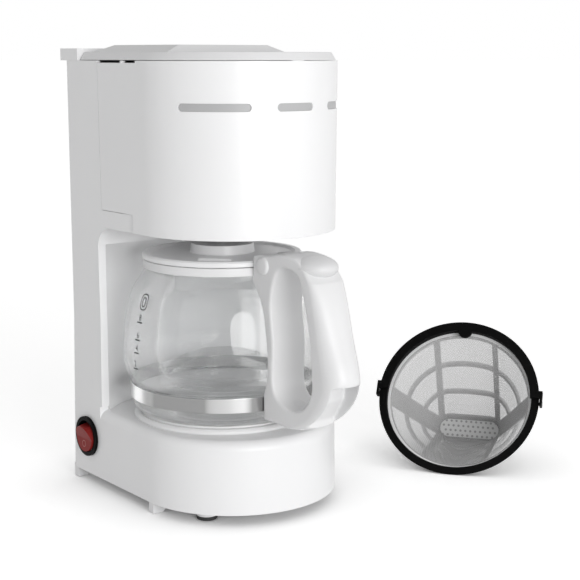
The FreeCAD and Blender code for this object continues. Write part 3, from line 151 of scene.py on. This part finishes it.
# Stamps: kind of mesh and its sizes before scaling
PLATE_STAMP = ("GeometryNodeMeshCube", {})
DISC_STAMP = ("GeometryNodeMeshCylinder", {"Vertices": 14, "Radius": 0.5, "Depth": 1.0})


# Node trees and maths on their sockets


class Sock:
    """A socket that takes part in arithmetic; each operation adds a Math node."""

    def __init__(self, wiring, socket):
        self.wiring, self.socket = wiring, socket

    def maths(self, operation, first, second):
        return self.wiring.add("ShaderNodeMath", {"operation": operation}, {0: first, 1: second})

    def __add__(self, other):
        return self.maths("ADD", self, other)

    def __radd__(self, other):
        return self.maths("ADD", other, self)

    def __sub__(self, other):
        return self.maths("SUBTRACT", self, other)

    def __rsub__(self, other):
        return self.maths("SUBTRACT", other, self)

    def __mul__(self, other):
        return self.maths("MULTIPLY", self, other)

    def __rmul__(self, other):
        return self.maths("MULTIPLY", other, self)

    def __gt__(self, other):
        return self.maths("GREATER_THAN", self, other)

    def __lt__(self, other):
        return self.maths("LESS_THAN", self, other)

    def either(self, other):
        return self.maths("MAXIMUM", self, other)


class Wiring:
    """A node tree, emptied, whose nodes all come from add."""

    def __init__(self, tree):
        self.tree = tree
        tree.nodes.clear()

    def add(self, kind, settings=None, values=None, out=0):
        """New node: its settings first, then the values or links of its sockets. Gives one of its outputs."""
        node = self.tree.nodes.new(kind)
        for key, value in (settings or {}).items():
            setattr(node, key, value)
        for key, value in (values or {}).items():
            if isinstance(value, Sock):
                self.tree.links.new(value.socket, node.inputs[key])
            else:
                node.inputs[key].default_value = value
        return Sock(self, node.outputs[out]) if node.outputs else None


class Finish(Wiring):
    """One procedural material."""

    def __init__(self, name):
        self.material = bpy.data.materials.new(name)
        self.material.use_nodes = True
        super().__init__(self.material.node_tree)

    def place(self, stretch=(1.0, 1.0, 1.0)):
        """Where on the piece, in metres, with each way stretched."""
        spot = self.add("ShaderNodeTexCoord", out="Object")
        return self.add("ShaderNodeMapping", {}, {"Vector": spot, "Scale": stretch})

    def noise(self, scale, detail=2.0, stretch=(1.0, 1.0, 1.0)):
        values = {"Vector": self.place(stretch), "Scale": scale, "Detail": detail}
        return self.add("ShaderNodeTexNoise", {}, values)

    def threads(self, way, scale):
        """Dark and light bands across one way."""
        values = {"Vector": self.place(), "Scale": scale}
        bands = self.add("ShaderNodeTexWave", {"bands_direction": way}, values)
        return self.add("ShaderNodeSeparateColor", {}, {"Color": bands})

    def blend(self, share, first, second):
        values = {"Factor": share, 6: first, 7: second}
        return self.add("ShaderNodeMix", {"data_type": "RGBA"}, values, 2)

    def bump(self, height, strength, distance):
        values = {"Height": height, "Strength": strength, "Distance": distance}
        return self.add("ShaderNodeBump", {}, values)

    def shown(self, shader):
        """The material, with the shader as its surface."""
        self.add("ShaderNodeOutputMaterial", {}, {"Surface": shader})
        return self.material

    def surface(self, values):
        return self.shown(self.add("ShaderNodeBsdfPrincipled", {}, values))


def grey(level):
    return (level, level, level, 1.0)


def cool_white(level):
    """Grey or white with a trace of blue."""
    return (level, level, level + 0.005, 1.0)


def darker(tone, share):
    return tuple(c * (1.0 - share) for c in tone[:3]) + (1.0,)


# Finishes


def moulded_plastic(name, tone, roughness, grain_size=0.5 * MM, grain_depth=0.03, drift=0.03, coat=0.0,
                    shine=0.5):
    """Moulded plastic: soft drift of tone, fine mould grain and uneven gloss."""
    finish = Finish(name)
    cloud = finish.noise(scale=22.0, detail=3.0)
    grain = finish.noise(scale=0.35 / grain_size)
    return finish.surface({
        "Base Color": finish.blend(cloud, darker(tone, drift), tone),
        "Roughness": roughness + (grain - 0.5) * 0.10 + (cloud - 0.5) * 0.06,
        "Normal": finish.bump(grain, grain_depth, 0.1 * MM),
        "Coat Weight": coat,
        "IOR": 1.49,
        "Specular IOR Level": shine,
    })


def bare_metal(name, tone, roughness, brushed=(1.0, 1.0, 40.0)):
    """Bare metal: brushed or cast grain, and smudges in its gloss."""
    finish = Finish(name)
    brush = finish.noise(scale=120.0, detail=3.0, stretch=brushed)
    smudge = finish.noise(scale=30.0)
    return finish.surface({
        "Base Color": finish.blend(brush, darker(tone, 0.12), tone),
        "Metallic": 1.0,
        "Roughness": roughness + (brush - 0.5) * 0.12 + (smudge - 0.5) * 0.05,
        "Normal": finish.bump(brush, 0.06, 0.05 * MM),
    })


def clear_glass():
    """Thin blown glass: mostly see-through, with a faint drift of tint and density."""
    finish = Finish("carafe_clear_glass")
    ripple = finish.noise(scale=18.0, detail=1.0)
    return finish.surface({
        "Base Color": finish.blend(ripple, (0.965, 0.98, 0.98, 1.0), (0.985, 0.99, 0.99, 1.0)),
        "Roughness": 0.0,
        "IOR": 1.46,
        "Transmission Weight": 1.0,
        "Alpha": 0.42 + ripple * 0.08,
        "Normal": finish.bump(ripple, 0.02, 0.3 * MM),
    })


def rocker_red():
    """Tinted clear red over a darker core, with a slightly frosted face."""
    finish = Finish("rocker_tinted_red")
    cloud = finish.noise(scale=160.0)
    grain = finish.noise(scale=1400.0)
    return finish.surface({
        "Base Color": finish.blend(cloud, (0.19, 0.011, 0.010, 1.0), (0.27, 0.022, 0.020, 1.0)),
        "Roughness": 0.40 + (grain - 0.5) * 0.12,
        "Normal": finish.bump(grain, 0.04, 0.05 * MM),
        "Specular IOR Level": 0.12,
    })


def woven_net():
    """Fine woven net, half open: two sets of threads across the piece."""
    finish = Finish("filter_woven_net")
    thread = finish.threads("X", 420.0) * 0.5 + finish.threads("Z", 420.0) * 0.5
    cloud = finish.noise(scale=40.0)
    return finish.surface({
        "Base Color": finish.blend(cloud, grey(0.50), grey(0.56)),
        "Roughness": 0.55,
        "Alpha": 0.33 + thread * 0.12,
        "Normal": finish.bump(thread, 0.25, 0.1 * MM),
    })


def frame_plastic():
    """Pale cage bars that end in a greyer end plate."""
    finish = Finish("filter_frame_grey")
    cloud = finish.noise(scale=40.0)
    depth = finish.add("ShaderNodeVectorMath", {"operation": "DOT_PRODUCT"},
                       {0: finish.place(), 1: FILTER_DEPTH_WAY}, "Value")
    plate = depth > FILTER_PLACE.dot(FILTER_DEPTH_WAY) + FILTER_PLATE_DEPTH
    bars = finish.blend(cloud, grey(0.82), grey(0.87))
    return finish.surface({
        "Base Color": finish.blend(plate, bars, grey(0.64)),
        "Roughness": 0.5 + (cloud - 0.5) * 0.1,
    })


def printed_ink():
    """Screen-printed grey ink, slightly thin in places."""
    finish = Finish("printed_grey_ink")
    thin = finish.noise(scale=900.0, detail=3.0)
    return finish.surface({
        "Base Color": finish.blend(thin, grey(0.02), grey(0.06)),
        "Roughness": 0.5 + (thin - 0.5) * 0.2,
    })


def steel_with_painted_reflections():
    """Polished band with painted reflections: its base colour runs in broad upright light and dark streaks
    that stand in for the surroundings mirrored in the band.
    """
    finish = Finish("steel_painted_reflection_streaks")
    # Painted reflection: these streaks of dark and light grey stand in for what the polished band mirrors.
    broad = finish.noise(scale=26.0, detail=1.5, stretch=(1.0, 1.0, 0.02))
    painted_reflection_streak = finish.add("ShaderNodeMapRange", {}, {"Value": broad, "From Min": 0.44, "From Max": 0.56})
    brush = finish.noise(scale=300.0, stretch=(1.0, 1.0, 0.05))
    return finish.surface({
        "Base Color": finish.blend(painted_reflection_streak, grey(0.30), grey(0.94)),
        "Metallic": 1.0,
        "Roughness": 0.16 + (brush - 0.5) * 0.10,
    })


FINISHES = {
    "white_gloss": moulded_plastic("body_gloss_white", cool_white(0.86), 0.38, coat=0.06),
    "white_satin": moulded_plastic("satin_white", cool_white(0.80), 0.42),
    "handle_white": moulded_plastic("handle_white", cool_white(0.78), 0.40),
    # Painted shade: the thumb rest is the handle's white plastic made darker, standing in for the shade that
    # falls on the top of the handle.
    "thumb_shaded_white": moulded_plastic("thumb_rest_painted_shade_white", cool_white(0.71), 0.45),
    "frame_grey": frame_plastic(),
    "dot_grey": moulded_plastic("filter_dot_grey", grey(0.34), 0.5),
    "mark_pink": moulded_plastic("rocker_mark_pink", (0.36, 0.10, 0.09, 1.0), 0.5),
    # Partly painted light: the carafe lid's plastic shares its slot with the drum's grey strips but is made
    # much paler than their grey. Part of this is the lid's own pale tone, and part is light that stands in
    # for the shade under the brew head.
    "grey_plastic": moulded_plastic("pale_grey_plastic_painted_light", cool_white(0.84), 0.35),
    "strip_grey": moulded_plastic("strip_grey_plastic", cool_white(0.44), 0.45),
    "natural_plastic": moulded_plastic("natural_plastic", (0.62, 0.63, 0.62, 1.0), 0.40),
    "black_plastic": moulded_plastic("fine_black_plastic", grey(0.004), 0.5, drift=0.25, shine=0.05),
    "red_plastic": rocker_red(),
    "steel": steel_with_painted_reflections(),
    "plate_steel": moulded_plastic("plate_enamel", grey(0.84), 0.30, drift=0.06),
    "aluminium": bare_metal("cast_aluminium", (0.62, 0.62, 0.63, 1.0), 0.42, brushed=(1.0, 1.0, 1.0)),
    "rubber": moulded_plastic("foot_rubber", grey(0.035), 0.75, 1.0 * MM, grain_depth=0.15, drift=0.2),
    "silicone": moulded_plastic("pale_silicone", (0.60, 0.60, 0.58, 1.0), 0.55),
    "glass": clear_glass(),
    "mesh": woven_net(),
    "ink": printed_ink(),
    "brass": bare_metal("plated_brass", (0.70, 0.55, 0.28, 1.0), 0.30),
}


# Meshes


def linked(name, data):
    """New object at the origin, in the scene."""
    holder = bpy.data.objects.new(name, data)
    bpy.context.scene.collection.objects.link(holder)
    return holder


def plain(holder):
    """The object's shape as a plain mesh, with its modifiers run. The object goes."""
    bpy.context.view_layer.update()
    depsgraph = bpy.context.evaluated_depsgraph_get()
    mesh = bpy.data.meshes.new_from_object(holder.evaluated_get(depsgraph))
    bpy.data.objects.remove(holder)
    return mesh


def mesh_from(bm, name, smooth=False):
    """Plain mesh of what was drawn."""
    if smooth:
        for face in bm.faces:
            face.smooth = True
    mesh = bpy.data.meshes.new(name)
    bm.to_mesh(mesh)
    bm.free()
    return mesh


def new_piece(name, mesh, body, slot, finish=None):
    """Piece of the object that rides on a body, in its slot's finish or in one of its own."""
    piece = linked(name, mesh)
    mesh.materials.clear()
    mesh.materials.append(FINISHES[finish or slot])
    for polygon in mesh.polygons:
        polygon.material_index = 0
    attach(piece, body)
    return piece


def settled(mesh, modifiers):
    """Run modifiers over a mesh and give back a plain mesh. A mesh among their settings is their tool."""
    holder, tools = linked("holder", mesh), []
    for kind, settings in modifiers:
        modifier = holder.modifiers.new(kind, kind)
        for key, value in settings.items():
            if isinstance(value, bpy.types.Mesh):
                value = linked("tool", value)
                tools.append(value)
            setattr(modifier, key, value)
    result = plain(holder)
    for tool in tools:
        bpy.data.objects.remove(tool)
    return result


def boolean(operation, tool, solver="EXACT"):
    return "BOOLEAN", {"operation": operation, "object": tool, "solver": solver}


def bevel(width, steps, sharp_edge, **more):
    settings = {"width": width, "segments": steps, "limit_method": "ANGLE", "angle_limit": sharp_edge}
    return "BEVEL", settings | more


def merged_copy(node, shape=None):
    """Copy of a CAD node with its triangles joined and flat faces made whole."""
    mesh = NODES[node].data.copy()
    bm = bmesh.new()
    bm.from_mesh(mesh)
    bmesh.ops.remove_doubles(bm, verts=bm.verts, dist=SAME_CORNER)
    bmesh.ops.dissolve_limit(bm, angle_limit=FLAT_SEAM, verts=bm.verts, edges=bm.edges)
    if shape:
        shape(bm)
    for face in bm.faces:
        face.smooth = True
    bm.to_mesh(mesh)
    bm.free()
    return mesh


def softened(node, edge, steps, shape=None, finish=None, cuts=()):
    """The node's moulding with its sharp edges rounded, standing for the node."""
    rounds = bevel(edge, steps, SHARP_EDGE, use_clamp_overlap=True, miter_outer="MITER_ARC")
    # Rounds may cross each other in tight corners, so the cuts take a solver that only needs a closed shell
    trims = [boolean("DIFFERENCE", cut, "MANIFOLD") for cut in cuts]
    even = ("WEIGHTED_NORMAL", {"keep_sharp": True, "weight": 80})
    mesh = settled(merged_copy(node, shape), [rounds, *trims, even])
    piece = new_piece(node + "_moulding", mesh, BODY_OF[node], SLOT_OF[node], finish)
    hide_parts(node)


def circle(steps):
    """Angles round a full turn."""
    return [2 * math.pi * i / steps for i in range(steps)]


def close_band(bm, first, second):
    """Faces between two closed rings of points."""
    for i in range(len(first)):
        bm.faces.new((first[i - 1], first[i], second[i], second[i - 1]))


def lathe(outline, centre, steps=128):
    """Closed outline of (radius, height) points turned about a vertical axis, with its ends on the axis."""
    bm = bmesh.new()
    rings = []
    for a in circle(steps):
        spots = [(centre.x + r * math.cos(a), centre.y + r * math.sin(a), z) for r, z in outline]
        rings.append([bm.verts.new(spot) for spot in spots])
    for i, ring in enumerate(rings):
        after = rings[(i + 1) % steps]
        for j in range(len(outline) - 1):
            bm.faces.new((ring[j], after[j], after[j + 1], ring[j + 1]))
    bmesh.ops.remove_doubles(bm, verts=bm.verts, dist=SAME_POLE)
    bmesh.ops.recalc_face_normals(bm, faces=bm.faces)
    return mesh_from(bm, "turned", smooth=True)


def prism(outline, start, end, along="x"):
    """Closed outline in millimetres, (y, z) drawn out along X or (x, z) along Y."""
    bm = bmesh.new()
    ends = []
    for reach in (start, end):
        spots = [(reach, a, b) if along == "x" else (a, reach, b) for a, b in outline]
        ends.append([bm.verts.new(Vector(spot) * MM) for spot in spots])
    near, far = ends
    close_band(bm, near, far)
    for face in bm.faces:
        face.smooth = True
    bm.faces.new(near)
    bm.faces.new(far[::-1])
    bmesh.ops.recalc_face_normals(bm, faces=bm.faces)
    return mesh_from(bm, "prism")


def rod(start, end, radius, steps=32):
    """Closed round bar between two points."""
    bm = bmesh.new()
    way = end - start
    place = Matrix.Translation((start + end) / 2) @ way.to_track_quat("Z", "Y").to_matrix().to_4x4()
    bmesh.ops.create_cone(bm, cap_ends=True, segments=steps, radius1=radius, radius2=radius, depth=way.length,
                          matrix=place)
    return mesh_from(bm, "rod")


def rounded_rod(start, end, radius, steps):
    """Round bar with eased ends."""
    mesh = settled(rod(start, end, radius, steps), [bevel(ROD_END_R, ROD_END_STEPS, ROD_SHARP_EDGE)])
    mesh.shade_smooth()
    return mesh


def curve_at(t, before, start, end, after):
    """Value at share t of the span from start to end, on a smooth curve through all four."""
    square = 2 * before - 5 * start + 4 * end - after
    cube = 3 * start - before - 3 * end + after
    return 0.5 * (2 * start + (end - before) * t + square * t ** 2 + cube * t ** 3)


def smooth_line(points, per_span=8):
    """Points along a smooth curve through the given points."""
    ends = [points[0], *points, points[-1]]
    line = []
    for four in zip(ends, ends[1:], ends[2:], ends[3:]):
        for i in range(per_span):
            line.append(tuple(curve_at(i / per_span, *values) for values in zip(*four)))
    return line + [points[-1]]


def between(stops, value):
    """Value on a line through (place, level) stops, whose places fall."""
    for (a, low), (b, high) in zip(stops, stops[1:]):
        if a >= value >= b:
            return low + (high - low) * (a - value) / (a - b)
    return stops[0][1] if value > stops[0][0] else stops[-1][1]


# The machine's shells


def lowered_skirt(bm):
    """Draw the base's skirt nearer the worktop."""
    for vert in bm.verts:
        if abs(vert.co.z - RIM_Z) < RIM_BAND:
            vert.co.z -= SKIRT_DROP


def deck_edge(side):
    """Bar that leaves the deck's side edge as round as its front edge."""
    middle, low = DECK_HALF_W - DECK_EDGE_R, DECK_Z - DECK_EDGE_R
    outside, above = DECK_HALF_W + DECK_CUT_OVER, DECK_Z + DECK_CUT_OVER
    arc = [math.pi / 2 * i / DECK_ARC_STEPS for i in range(DECK_ARC_STEPS + 1)]
    outline = [(middle + DECK_EDGE_R * math.cos(a), low + DECK_EDGE_R * math.sin(a)) for a in arc]
    outline += [(middle, above), (outside, above), (outside, low)]
    return prism([(side * x, z) for x, z in outline], *DECK_EDGE_RUN, along="y")


def machine_shells():
    """Every moulding that shows, with its edges rounded."""
    extras = {
        "main_housing": {"shape": lowered_skirt, "cuts": (deck_edge(-1), deck_edge(1))},
        "filter_frame": {"finish": "frame_grey"},
        "carafe_collar": {"finish": "handle_white"},
    }
    for node, edge, steps in EDGE_ROUNDS:
        softened(node, edge * MM, steps, **extras.get(node, {}))


def dress_the_rest():
    """Inner pieces keep their CAD shape and get their finish."""
    for name, node in NODES.items():
        node.data.materials.clear()
        node.data.materials.append(FINISHES[SLOT_OF[name]])


# Carafe


def glass_line(inset):
    """Half profile of the glass from the middle of its floor to its lip, moved in by the inset."""
    foot, lip = (corner.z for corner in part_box("carafe_glass"))
    low = foot + inset
    side = [(r * MM - inset, max(foot + z * MM, low)) for r, z in GLASS_PROFILE]
    return [(0.0, low)] + smooth_line(side) + [(side[-1][0], lip)]


GLASS_SIDE = glass_line(0.0)


def carafe_glass():
    """Blown glass with an even wall."""
    mesh = lathe(GLASS_SIDE + glass_line(GLASS_WALL)[::-1], CARAFE_AXIS)
    piece = new_piece("carafe_glass_blown", mesh, "carafe", "glass")
    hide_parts("carafe_glass")


def eased(spot):
    """Where a point of the handle goes: the crest is lowered, and the sides are drawn in round the gap."""
    spot = spot.copy()
    if spot.z > CREST_Z:
        spot.z -= (spot.z - CREST_Z) * between(CREST_DROPS, spot.y / MM)
    flat = Vector((spot.y, spot.z))
    gap = GAP_HEAD - GAP_FOOT
    along = max(0.0, min(1.0, (flat - GAP_FOOT).dot(gap) / gap.length_squared))
    centre = GAP_FOOT + gap * along
    out = flat - centre
    depth = out.length - GAP_HALF_W
    if depth <= 0 or out.x > FRONT_LEAN * out.length:
        return spot
    side = min(1.0, abs(spot.x) / HANDLE_HALF_W)
    share = SIDE_SHARE + (1 - SIDE_SHARE) * math.sqrt(1 - side * side)
    back = min(1.0, FRONT_LEAN - out.x / out.length)
    kept = 1 - (1 - share) * back
    flat = centre + out.normalized() * (GAP_HALF_W + depth * kept)
    return Vector((spot.x, flat.x, flat.y))


def handle_grip():
    """Handle with a rounded spine that is open underneath, eased from the CAD loop."""
    steps = []
    for near, far, radius in SCREW_WAY:
        start, end = Vector((0, near, SCREW_WAY_Z)) * MM, Vector((0, far, SCREW_WAY_Z)) * MM
        steps.append(boolean("UNION", rod(start, end, radius * MM)))
    steps.append(boolean("DIFFERENCE", prism(UNDER_OPENING, -UNDER_HALF_W, UNDER_HALF_W)))
    steps.append(("REMESH", {"mode": "VOXEL", "voxel_size": HANDLE_CELL, "use_smooth_shade": True}))
    mesh = settled(merged_copy("carafe_handle"), steps)
    for vert in mesh.vertices:
        vert.co = eased(vert.co)
    mesh = settled(mesh, [("SMOOTH", {"factor": 0.5, "iterations": HANDLE_SMOOTHING})])
    piece = new_piece("carafe_handle_grip", mesh, "carafe", "white_gloss", "handle_white")
    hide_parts("carafe_handle")


def thumb_rest():
    """Flattened ball on the handle's crest."""
    middle, half = THUMB_REST
    bm = bmesh.new()
    bmesh.ops.create_uvsphere(bm, u_segments=48, v_segments=32, radius=1.0,
                              matrix=Matrix.Translation(middle) @ Matrix.Diagonal(half).to_4x4())
    mesh = mesh_from(bm, "thumb_rest", smooth=True)
    # Its darker white is painted shade for the top of the handle.
    new_piece("carafe_thumb_rest", mesh, "carafe", "white_gloss", "thumb_shaded_white")


def lid_fittings():
    """Hinge knuckle behind the carafe's lid, and the rib on the lid."""
    middle, radius, half_w = KNUCKLE
    across = Vector((half_w, 0, 0))
    knuckle = rounded_rod(middle - across, middle + across, radius, steps=48)
    new_piece("carafe_lid_knuckle", knuckle, "carafe", "white_gloss", "handle_white")
    new_piece("carafe_lid_rib", rounded_rod(*LID_RIB, steps=24), "carafe", "grey_plastic")


# Small marks and dots set out by node trees


def stamp_tree(name, stamp, stamp_sizes):
    """Tree that puts one small stamp on every point, facing along the point's own direction."""
    group = bpy.data.node_groups.new(name, "GeometryNodeTree")
    for label, kind in (("Geometry", "NodeSocketGeometry"), ("Size", "NodeSocketVector"),
                        ("Material", "NodeSocketMaterial")):
        group.interface.new_socket(label, in_out="INPUT", socket_type=kind)
    group.interface.new_socket("Geometry", in_out="OUTPUT", socket_type="NodeSocketGeometry")
    tree = Wiring(group)
    given = {label: tree.add("NodeGroupInput", out=label) for label in ("Geometry", "Size", "Material")}
    facing = tree.add("GeometryNodeInputNamedAttribute", {"data_type": "FLOAT_VECTOR"}, {"Name": "facing"},
                      "Attribute")
    spread = tree.add("GeometryNodeInstanceOnPoints", {}, {
        "Points": tree.add("GeometryNodeMeshToPoints", {}, {"Mesh": given["Geometry"]}),
        "Instance": tree.add(stamp, {}, stamp_sizes),
        "Rotation": tree.add("FunctionNodeAlignRotationToVector", {"axis": "Z"}, {"Vector": facing}),
        "Scale": given["Size"],
    })
    real = tree.add("GeometryNodeRealizeInstances", {}, {"Geometry": spread})
    coated = tree.add("GeometryNodeSetMaterial", {}, {"Geometry": real, "Material": given["Material"]})
    tree.add("NodeGroupOutput", {}, {"Geometry": coated})
    return group


def stamped(name, stamp, spots, size, body, slot, finish=None):
    """Piece made of one stamp on each (place, facing) spot."""
    mesh = bpy.data.meshes.new(name)
    mesh.from_pydata([place for place, facing in spots], [], [])
    directions = mesh.attributes.new("facing", "FLOAT_VECTOR", "POINT")
    for item, (place, facing) in zip(directions.data, spots):
        item.vector = facing
    holder = linked(name + "_spots", mesh)
    modifier = holder.modifiers.new("stamps", "NODES")
    modifier.node_group = stamp_tree(name + "_stamps", *stamp)
    sockets = modifier.node_group.interface.items_tree
    inputs = {item.name: item.identifier for item in sockets if item.in_out == "INPUT"}
    modifier[inputs["Size"]] = size
    modifier[inputs["Material"]] = FINISHES[finish or slot]
    new_piece(name, plain(holder), body, slot, finish)


def glass_radius(z):
    """Radius of the glass's outside at a height."""
    for (r0, z0), (r1, z1) in zip(GLASS_SIDE, GLASS_SIDE[1:]):
        if z0 <= z <= z1 and z1 > z0:
            return r0 + (r1 - r0) * (z - z0) / (z1 - z0)
    return GLASS_SIDE[-1][0]


def on_glass(azimuth, z, across=0.0, up=0.0):
    """Point just off the glass, moved across and up from an azimuth and height."""
    a = math.radians(azimuth) + across / glass_radius(z)
    r = glass_radius(z + up) + INK_LIFT
    return CARAFE_AXIS + Vector((r * math.cos(a), r * math.sin(a), z + up))


def glass_facing(azimuth, z):
    """Way straight out of the glass."""
    a = math.radians(azimuth)
    slope = (glass_radius(z + MM) - glass_radius(z - MM)) / (2 * MM)
    return Vector((math.cos(a), math.sin(a), -slope)).normalized()


def level_ticks():
    """Short lines across the glass, one for each level."""
    spots = [(on_glass(azimuth, z * MM), glass_facing(azimuth, z * MM)) for azimuth, z, figure in LEVELS]
    stamped("carafe_level_ticks", PLATE_STAMP, spots, TICK_SIZE, "carafe", "ink")


def level_figures():
    """Figure over each level's line, laid round the glass."""
    bm = bmesh.new()
    for azimuth, z, figure in LEVELS:
        letter = bpy.data.curves.new("figure", "FONT")
        letter.body, letter.size, letter.align_x = figure, FIGURE_SIZE, "CENTER"
        start = len(bm.verts)
        bm.from_mesh(plain(linked("figure", letter)))
        bm.verts.ensure_lookup_table()
        for vert in bm.verts[start:]:
            vert.co = on_glass(azimuth, z * MM, vert.co.x, FIGURE_RISE + vert.co.y)
    new_piece("carafe_level_figures", mesh_from(bm, "figures"), "carafe", "ink")


def sign_ring(bm, inset):
    """Points round the sign, inset from its outer edge."""
    half_w, half_h = SIGN_HALF_W - inset, SIGN_HALF_H - inset
    corner = half_w * SIGN_ROUND
    ring = []
    for a in circle(SIGN_STEPS):
        across = math.copysign(half_w - corner, math.cos(a)) + corner * math.cos(a)
        up = math.copysign(half_h - corner, math.sin(a)) + corner * math.sin(a)
        ring.append(bm.verts.new(on_glass(SIGN_AZIMUTH, SIGN_Z, across, up)))
    return ring


def level_frame():
    """Framed sign over the levels."""
    bm = bmesh.new()
    for outer, inner in SIGN_LINES:
        close_band(bm, sign_ring(bm, outer), sign_ring(bm, inner))
    new_piece("carafe_level_frame", mesh_from(bm, "frame_mark"), "carafe", "ink")


def filter_dots():
    """Staggered rows of dots on the filter's end plate."""
    plate = FILTER_PLACE + FILTER_DEPTH_WAY * DOT_DEPTH
    spots = []
    for i, row in enumerate(DOT_ROWS):
        stagger = -DOT_STAGGER if i % 2 else DOT_STAGGER
        for column in range(-DOT_REACH, DOT_REACH + 1):
            across = FILTER_ACROSS * ((column + stagger) * DOT_PITCH)
            spots.append((plate + across + FILTER_DOWN * (row * DOT_PITCH), -FILTER_DEPTH_WAY))
    stamped("filter_plate_dots", DISC_STAMP, spots, DOT_SIZE, "filter", SLOT_OF["filter_frame"], "dot_grey")


def slot_strips():
    """Grey strips with round ends in the drum's slots."""
    bm = bmesh.new()
    end_span = math.degrees(SLOT_HALF_H / SLOT_R)
    for start, end in SLOT_SPANS:
        low, high = [], []
        for i in range(SLOT_STEPS + 1):
            a = start + (end - start) * i / SLOT_STEPS
            reach = min(a - start, end - a, end_span) / end_span
            h = SLOT_HALF_H * math.sqrt(max(0.0, 1 - (1 - reach) ** 2))
            x, y = SLOT_R * math.sin(math.radians(a)), -SLOT_R * math.cos(math.radians(a))
            low.append(bm.verts.new((x, y, SLOT_Z - h)))
            high.append(bm.verts.new((x, y, SLOT_Z + h)))
        for i in range(SLOT_STEPS):
            bm.faces.new((low[i], low[i + 1], high[i + 1], high[i]))
    mesh = mesh_from(bm, "slot_strips", smooth=True)
    new_piece("drum_slot_strips", mesh, "housing", "grey_plastic", "strip_grey")


def rocker_mark():
    """Ring laid on the rocker's face."""
    low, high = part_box("switch_rocker")
    rocker = NODES["switch_rocker"].data
    face = BVHTree.FromPolygons([vert.co for vert in rocker.vertices], [p.vertices for p in rocker.polygons])
    middle = Vector((low.x - MM, (low.y + high.y) / 2, low.z + ROCKER_MARK_RISE))
    inwards = Vector((1, 0, 0))
    bm = bmesh.new()
    rings = []
    for radius in ROCKER_MARK_RADII:
        ring = []
        for a in circle(ROCKER_MARK_STEPS):
            start = middle + Vector((0, -radius * math.cos(a), radius * math.sin(a)))
            spot = face.ray_cast(start, inwards)[0]
            ring.append(bm.verts.new(spot - inwards * ROCKER_MARK_LIFT))
        rings.append(ring)
    close_band(bm, *rings)
    new_piece("rocker_ring_mark", mesh_from(bm, "rocker_mark"), "rocker", "white_satin", "mark_pink")


# Stage


def card(name, half, place, material):
    """Level square card that belongs to the stage."""
    mesh = bpy.data.meshes.new(name)
    corners = [(-half, -half, 0), (half, -half, 0), (half, half, 0), (-half, half, 0)]
    mesh.from_pydata(corners, [], [(0, 1, 2, 3)])
    mesh.materials.append(material)
    piece = linked(name, mesh)
    piece.location = place


def seen_directly(tree):
    """Mask of camera, mirror and glass rays."""
    camera, mirror, through = (tree.add("ShaderNodeLightPath", out=f"Is {kind} Ray")
                               for kind in ("Camera", "Glossy", "Transmission"))
    return camera.either(mirror).either(through)


def pale_floor():
    """Pale floor: seen directly it is near white and keeps the soft shadow."""
    finish = Finish("pale_floor")
    matt = finish.add("ShaderNodeBsdfDiffuse", {}, {"Color": grey(FLOOR_TONE)})
    near = finish.add("ShaderNodeAmbientOcclusion", {}, {"Distance": CONTACT_REACH}, "Color")
    bright = finish.add("ShaderNodeAddShader", {}, {
        0: finish.add("ShaderNodeBsdfDiffuse", {}, {"Color": grey(1.0)}),
        1: finish.add("ShaderNodeEmission", {}, {"Color": near, "Strength": FLOOR_GLOW}),
    })
    return finish.shown(finish.add("ShaderNodeMixShader", {}, {0: seen_directly(finish), 1: matt, 2: bright}))


def room_light():
    """Soft even light from all round, which looks white."""
    world = bpy.data.worlds.new("studio")
    bpy.context.scene.world = world
    world.use_nodes = True
    tree = Wiring(world.node_tree)
    soft = tree.add("ShaderNodeBackground", {}, {"Color": grey(1.0), "Strength": ROOM_LIGHT})
    white = tree.add("ShaderNodeBackground", {}, {"Color": grey(1.0), "Strength": 1.0})
    both = tree.add("ShaderNodeMixShader", {}, {0: seen_directly(tree), 1: soft, 2: white})
    tree.add("ShaderNodeOutputWorld", {}, {"Surface": both})


def lamp(name, place, width, watts):
    """Round area lamp that faces the object."""
    light = bpy.data.lights.new(name, "AREA")
    light.shape, light.size, light.energy = "DISK", width, watts
    holder = linked(name, light)
    holder.location = place
    holder.rotation_euler = (LAMP_TARGET - Vector(place)).to_track_quat("-Z", "Y").to_euler()


def photo_camera():
    """Camera that stands where the photograph was taken from."""
    view = bpy.data.cameras.new("camera")
    view.sensor_width = SENSOR_MM
    view.lens = FOCAL_PX / FRAME_PX * SENSOR_MM
    view.clip_start = NEAREST_SEEN
    eye = linked("camera", view)
    eye.location = CAMERA_PLACE
    eye.rotation_euler = (math.radians(90 + CAMERA_PITCH), 0, math.radians(CAMERA_HEADING))
    bpy.context.scene.camera = eye


def stage():
    """Camera, pale floor and lights, and a grey card overhead that keeps the lid's top darker."""
    bpy.context.scene.view_settings.view_transform = "Standard"
    photo_camera()
    card("floor", FLOOR_HALF, FLOOR_PLACE, pale_floor())
    room_light()
    for settings in LAMPS:
        lamp(*settings)
    card("ceiling", CARD_HALF, CARD_PLACE, moulded_plastic("grey_card", grey(CARD_TONE), 0.9))


dress_the_rest()
machine_shells()
carafe_glass()
handle_grip()
thumb_rest()
lid_fittings()
level_ticks()
level_figures()
level_frame()
filter_dots()
slot_strips()
rocker_mark()
stage()
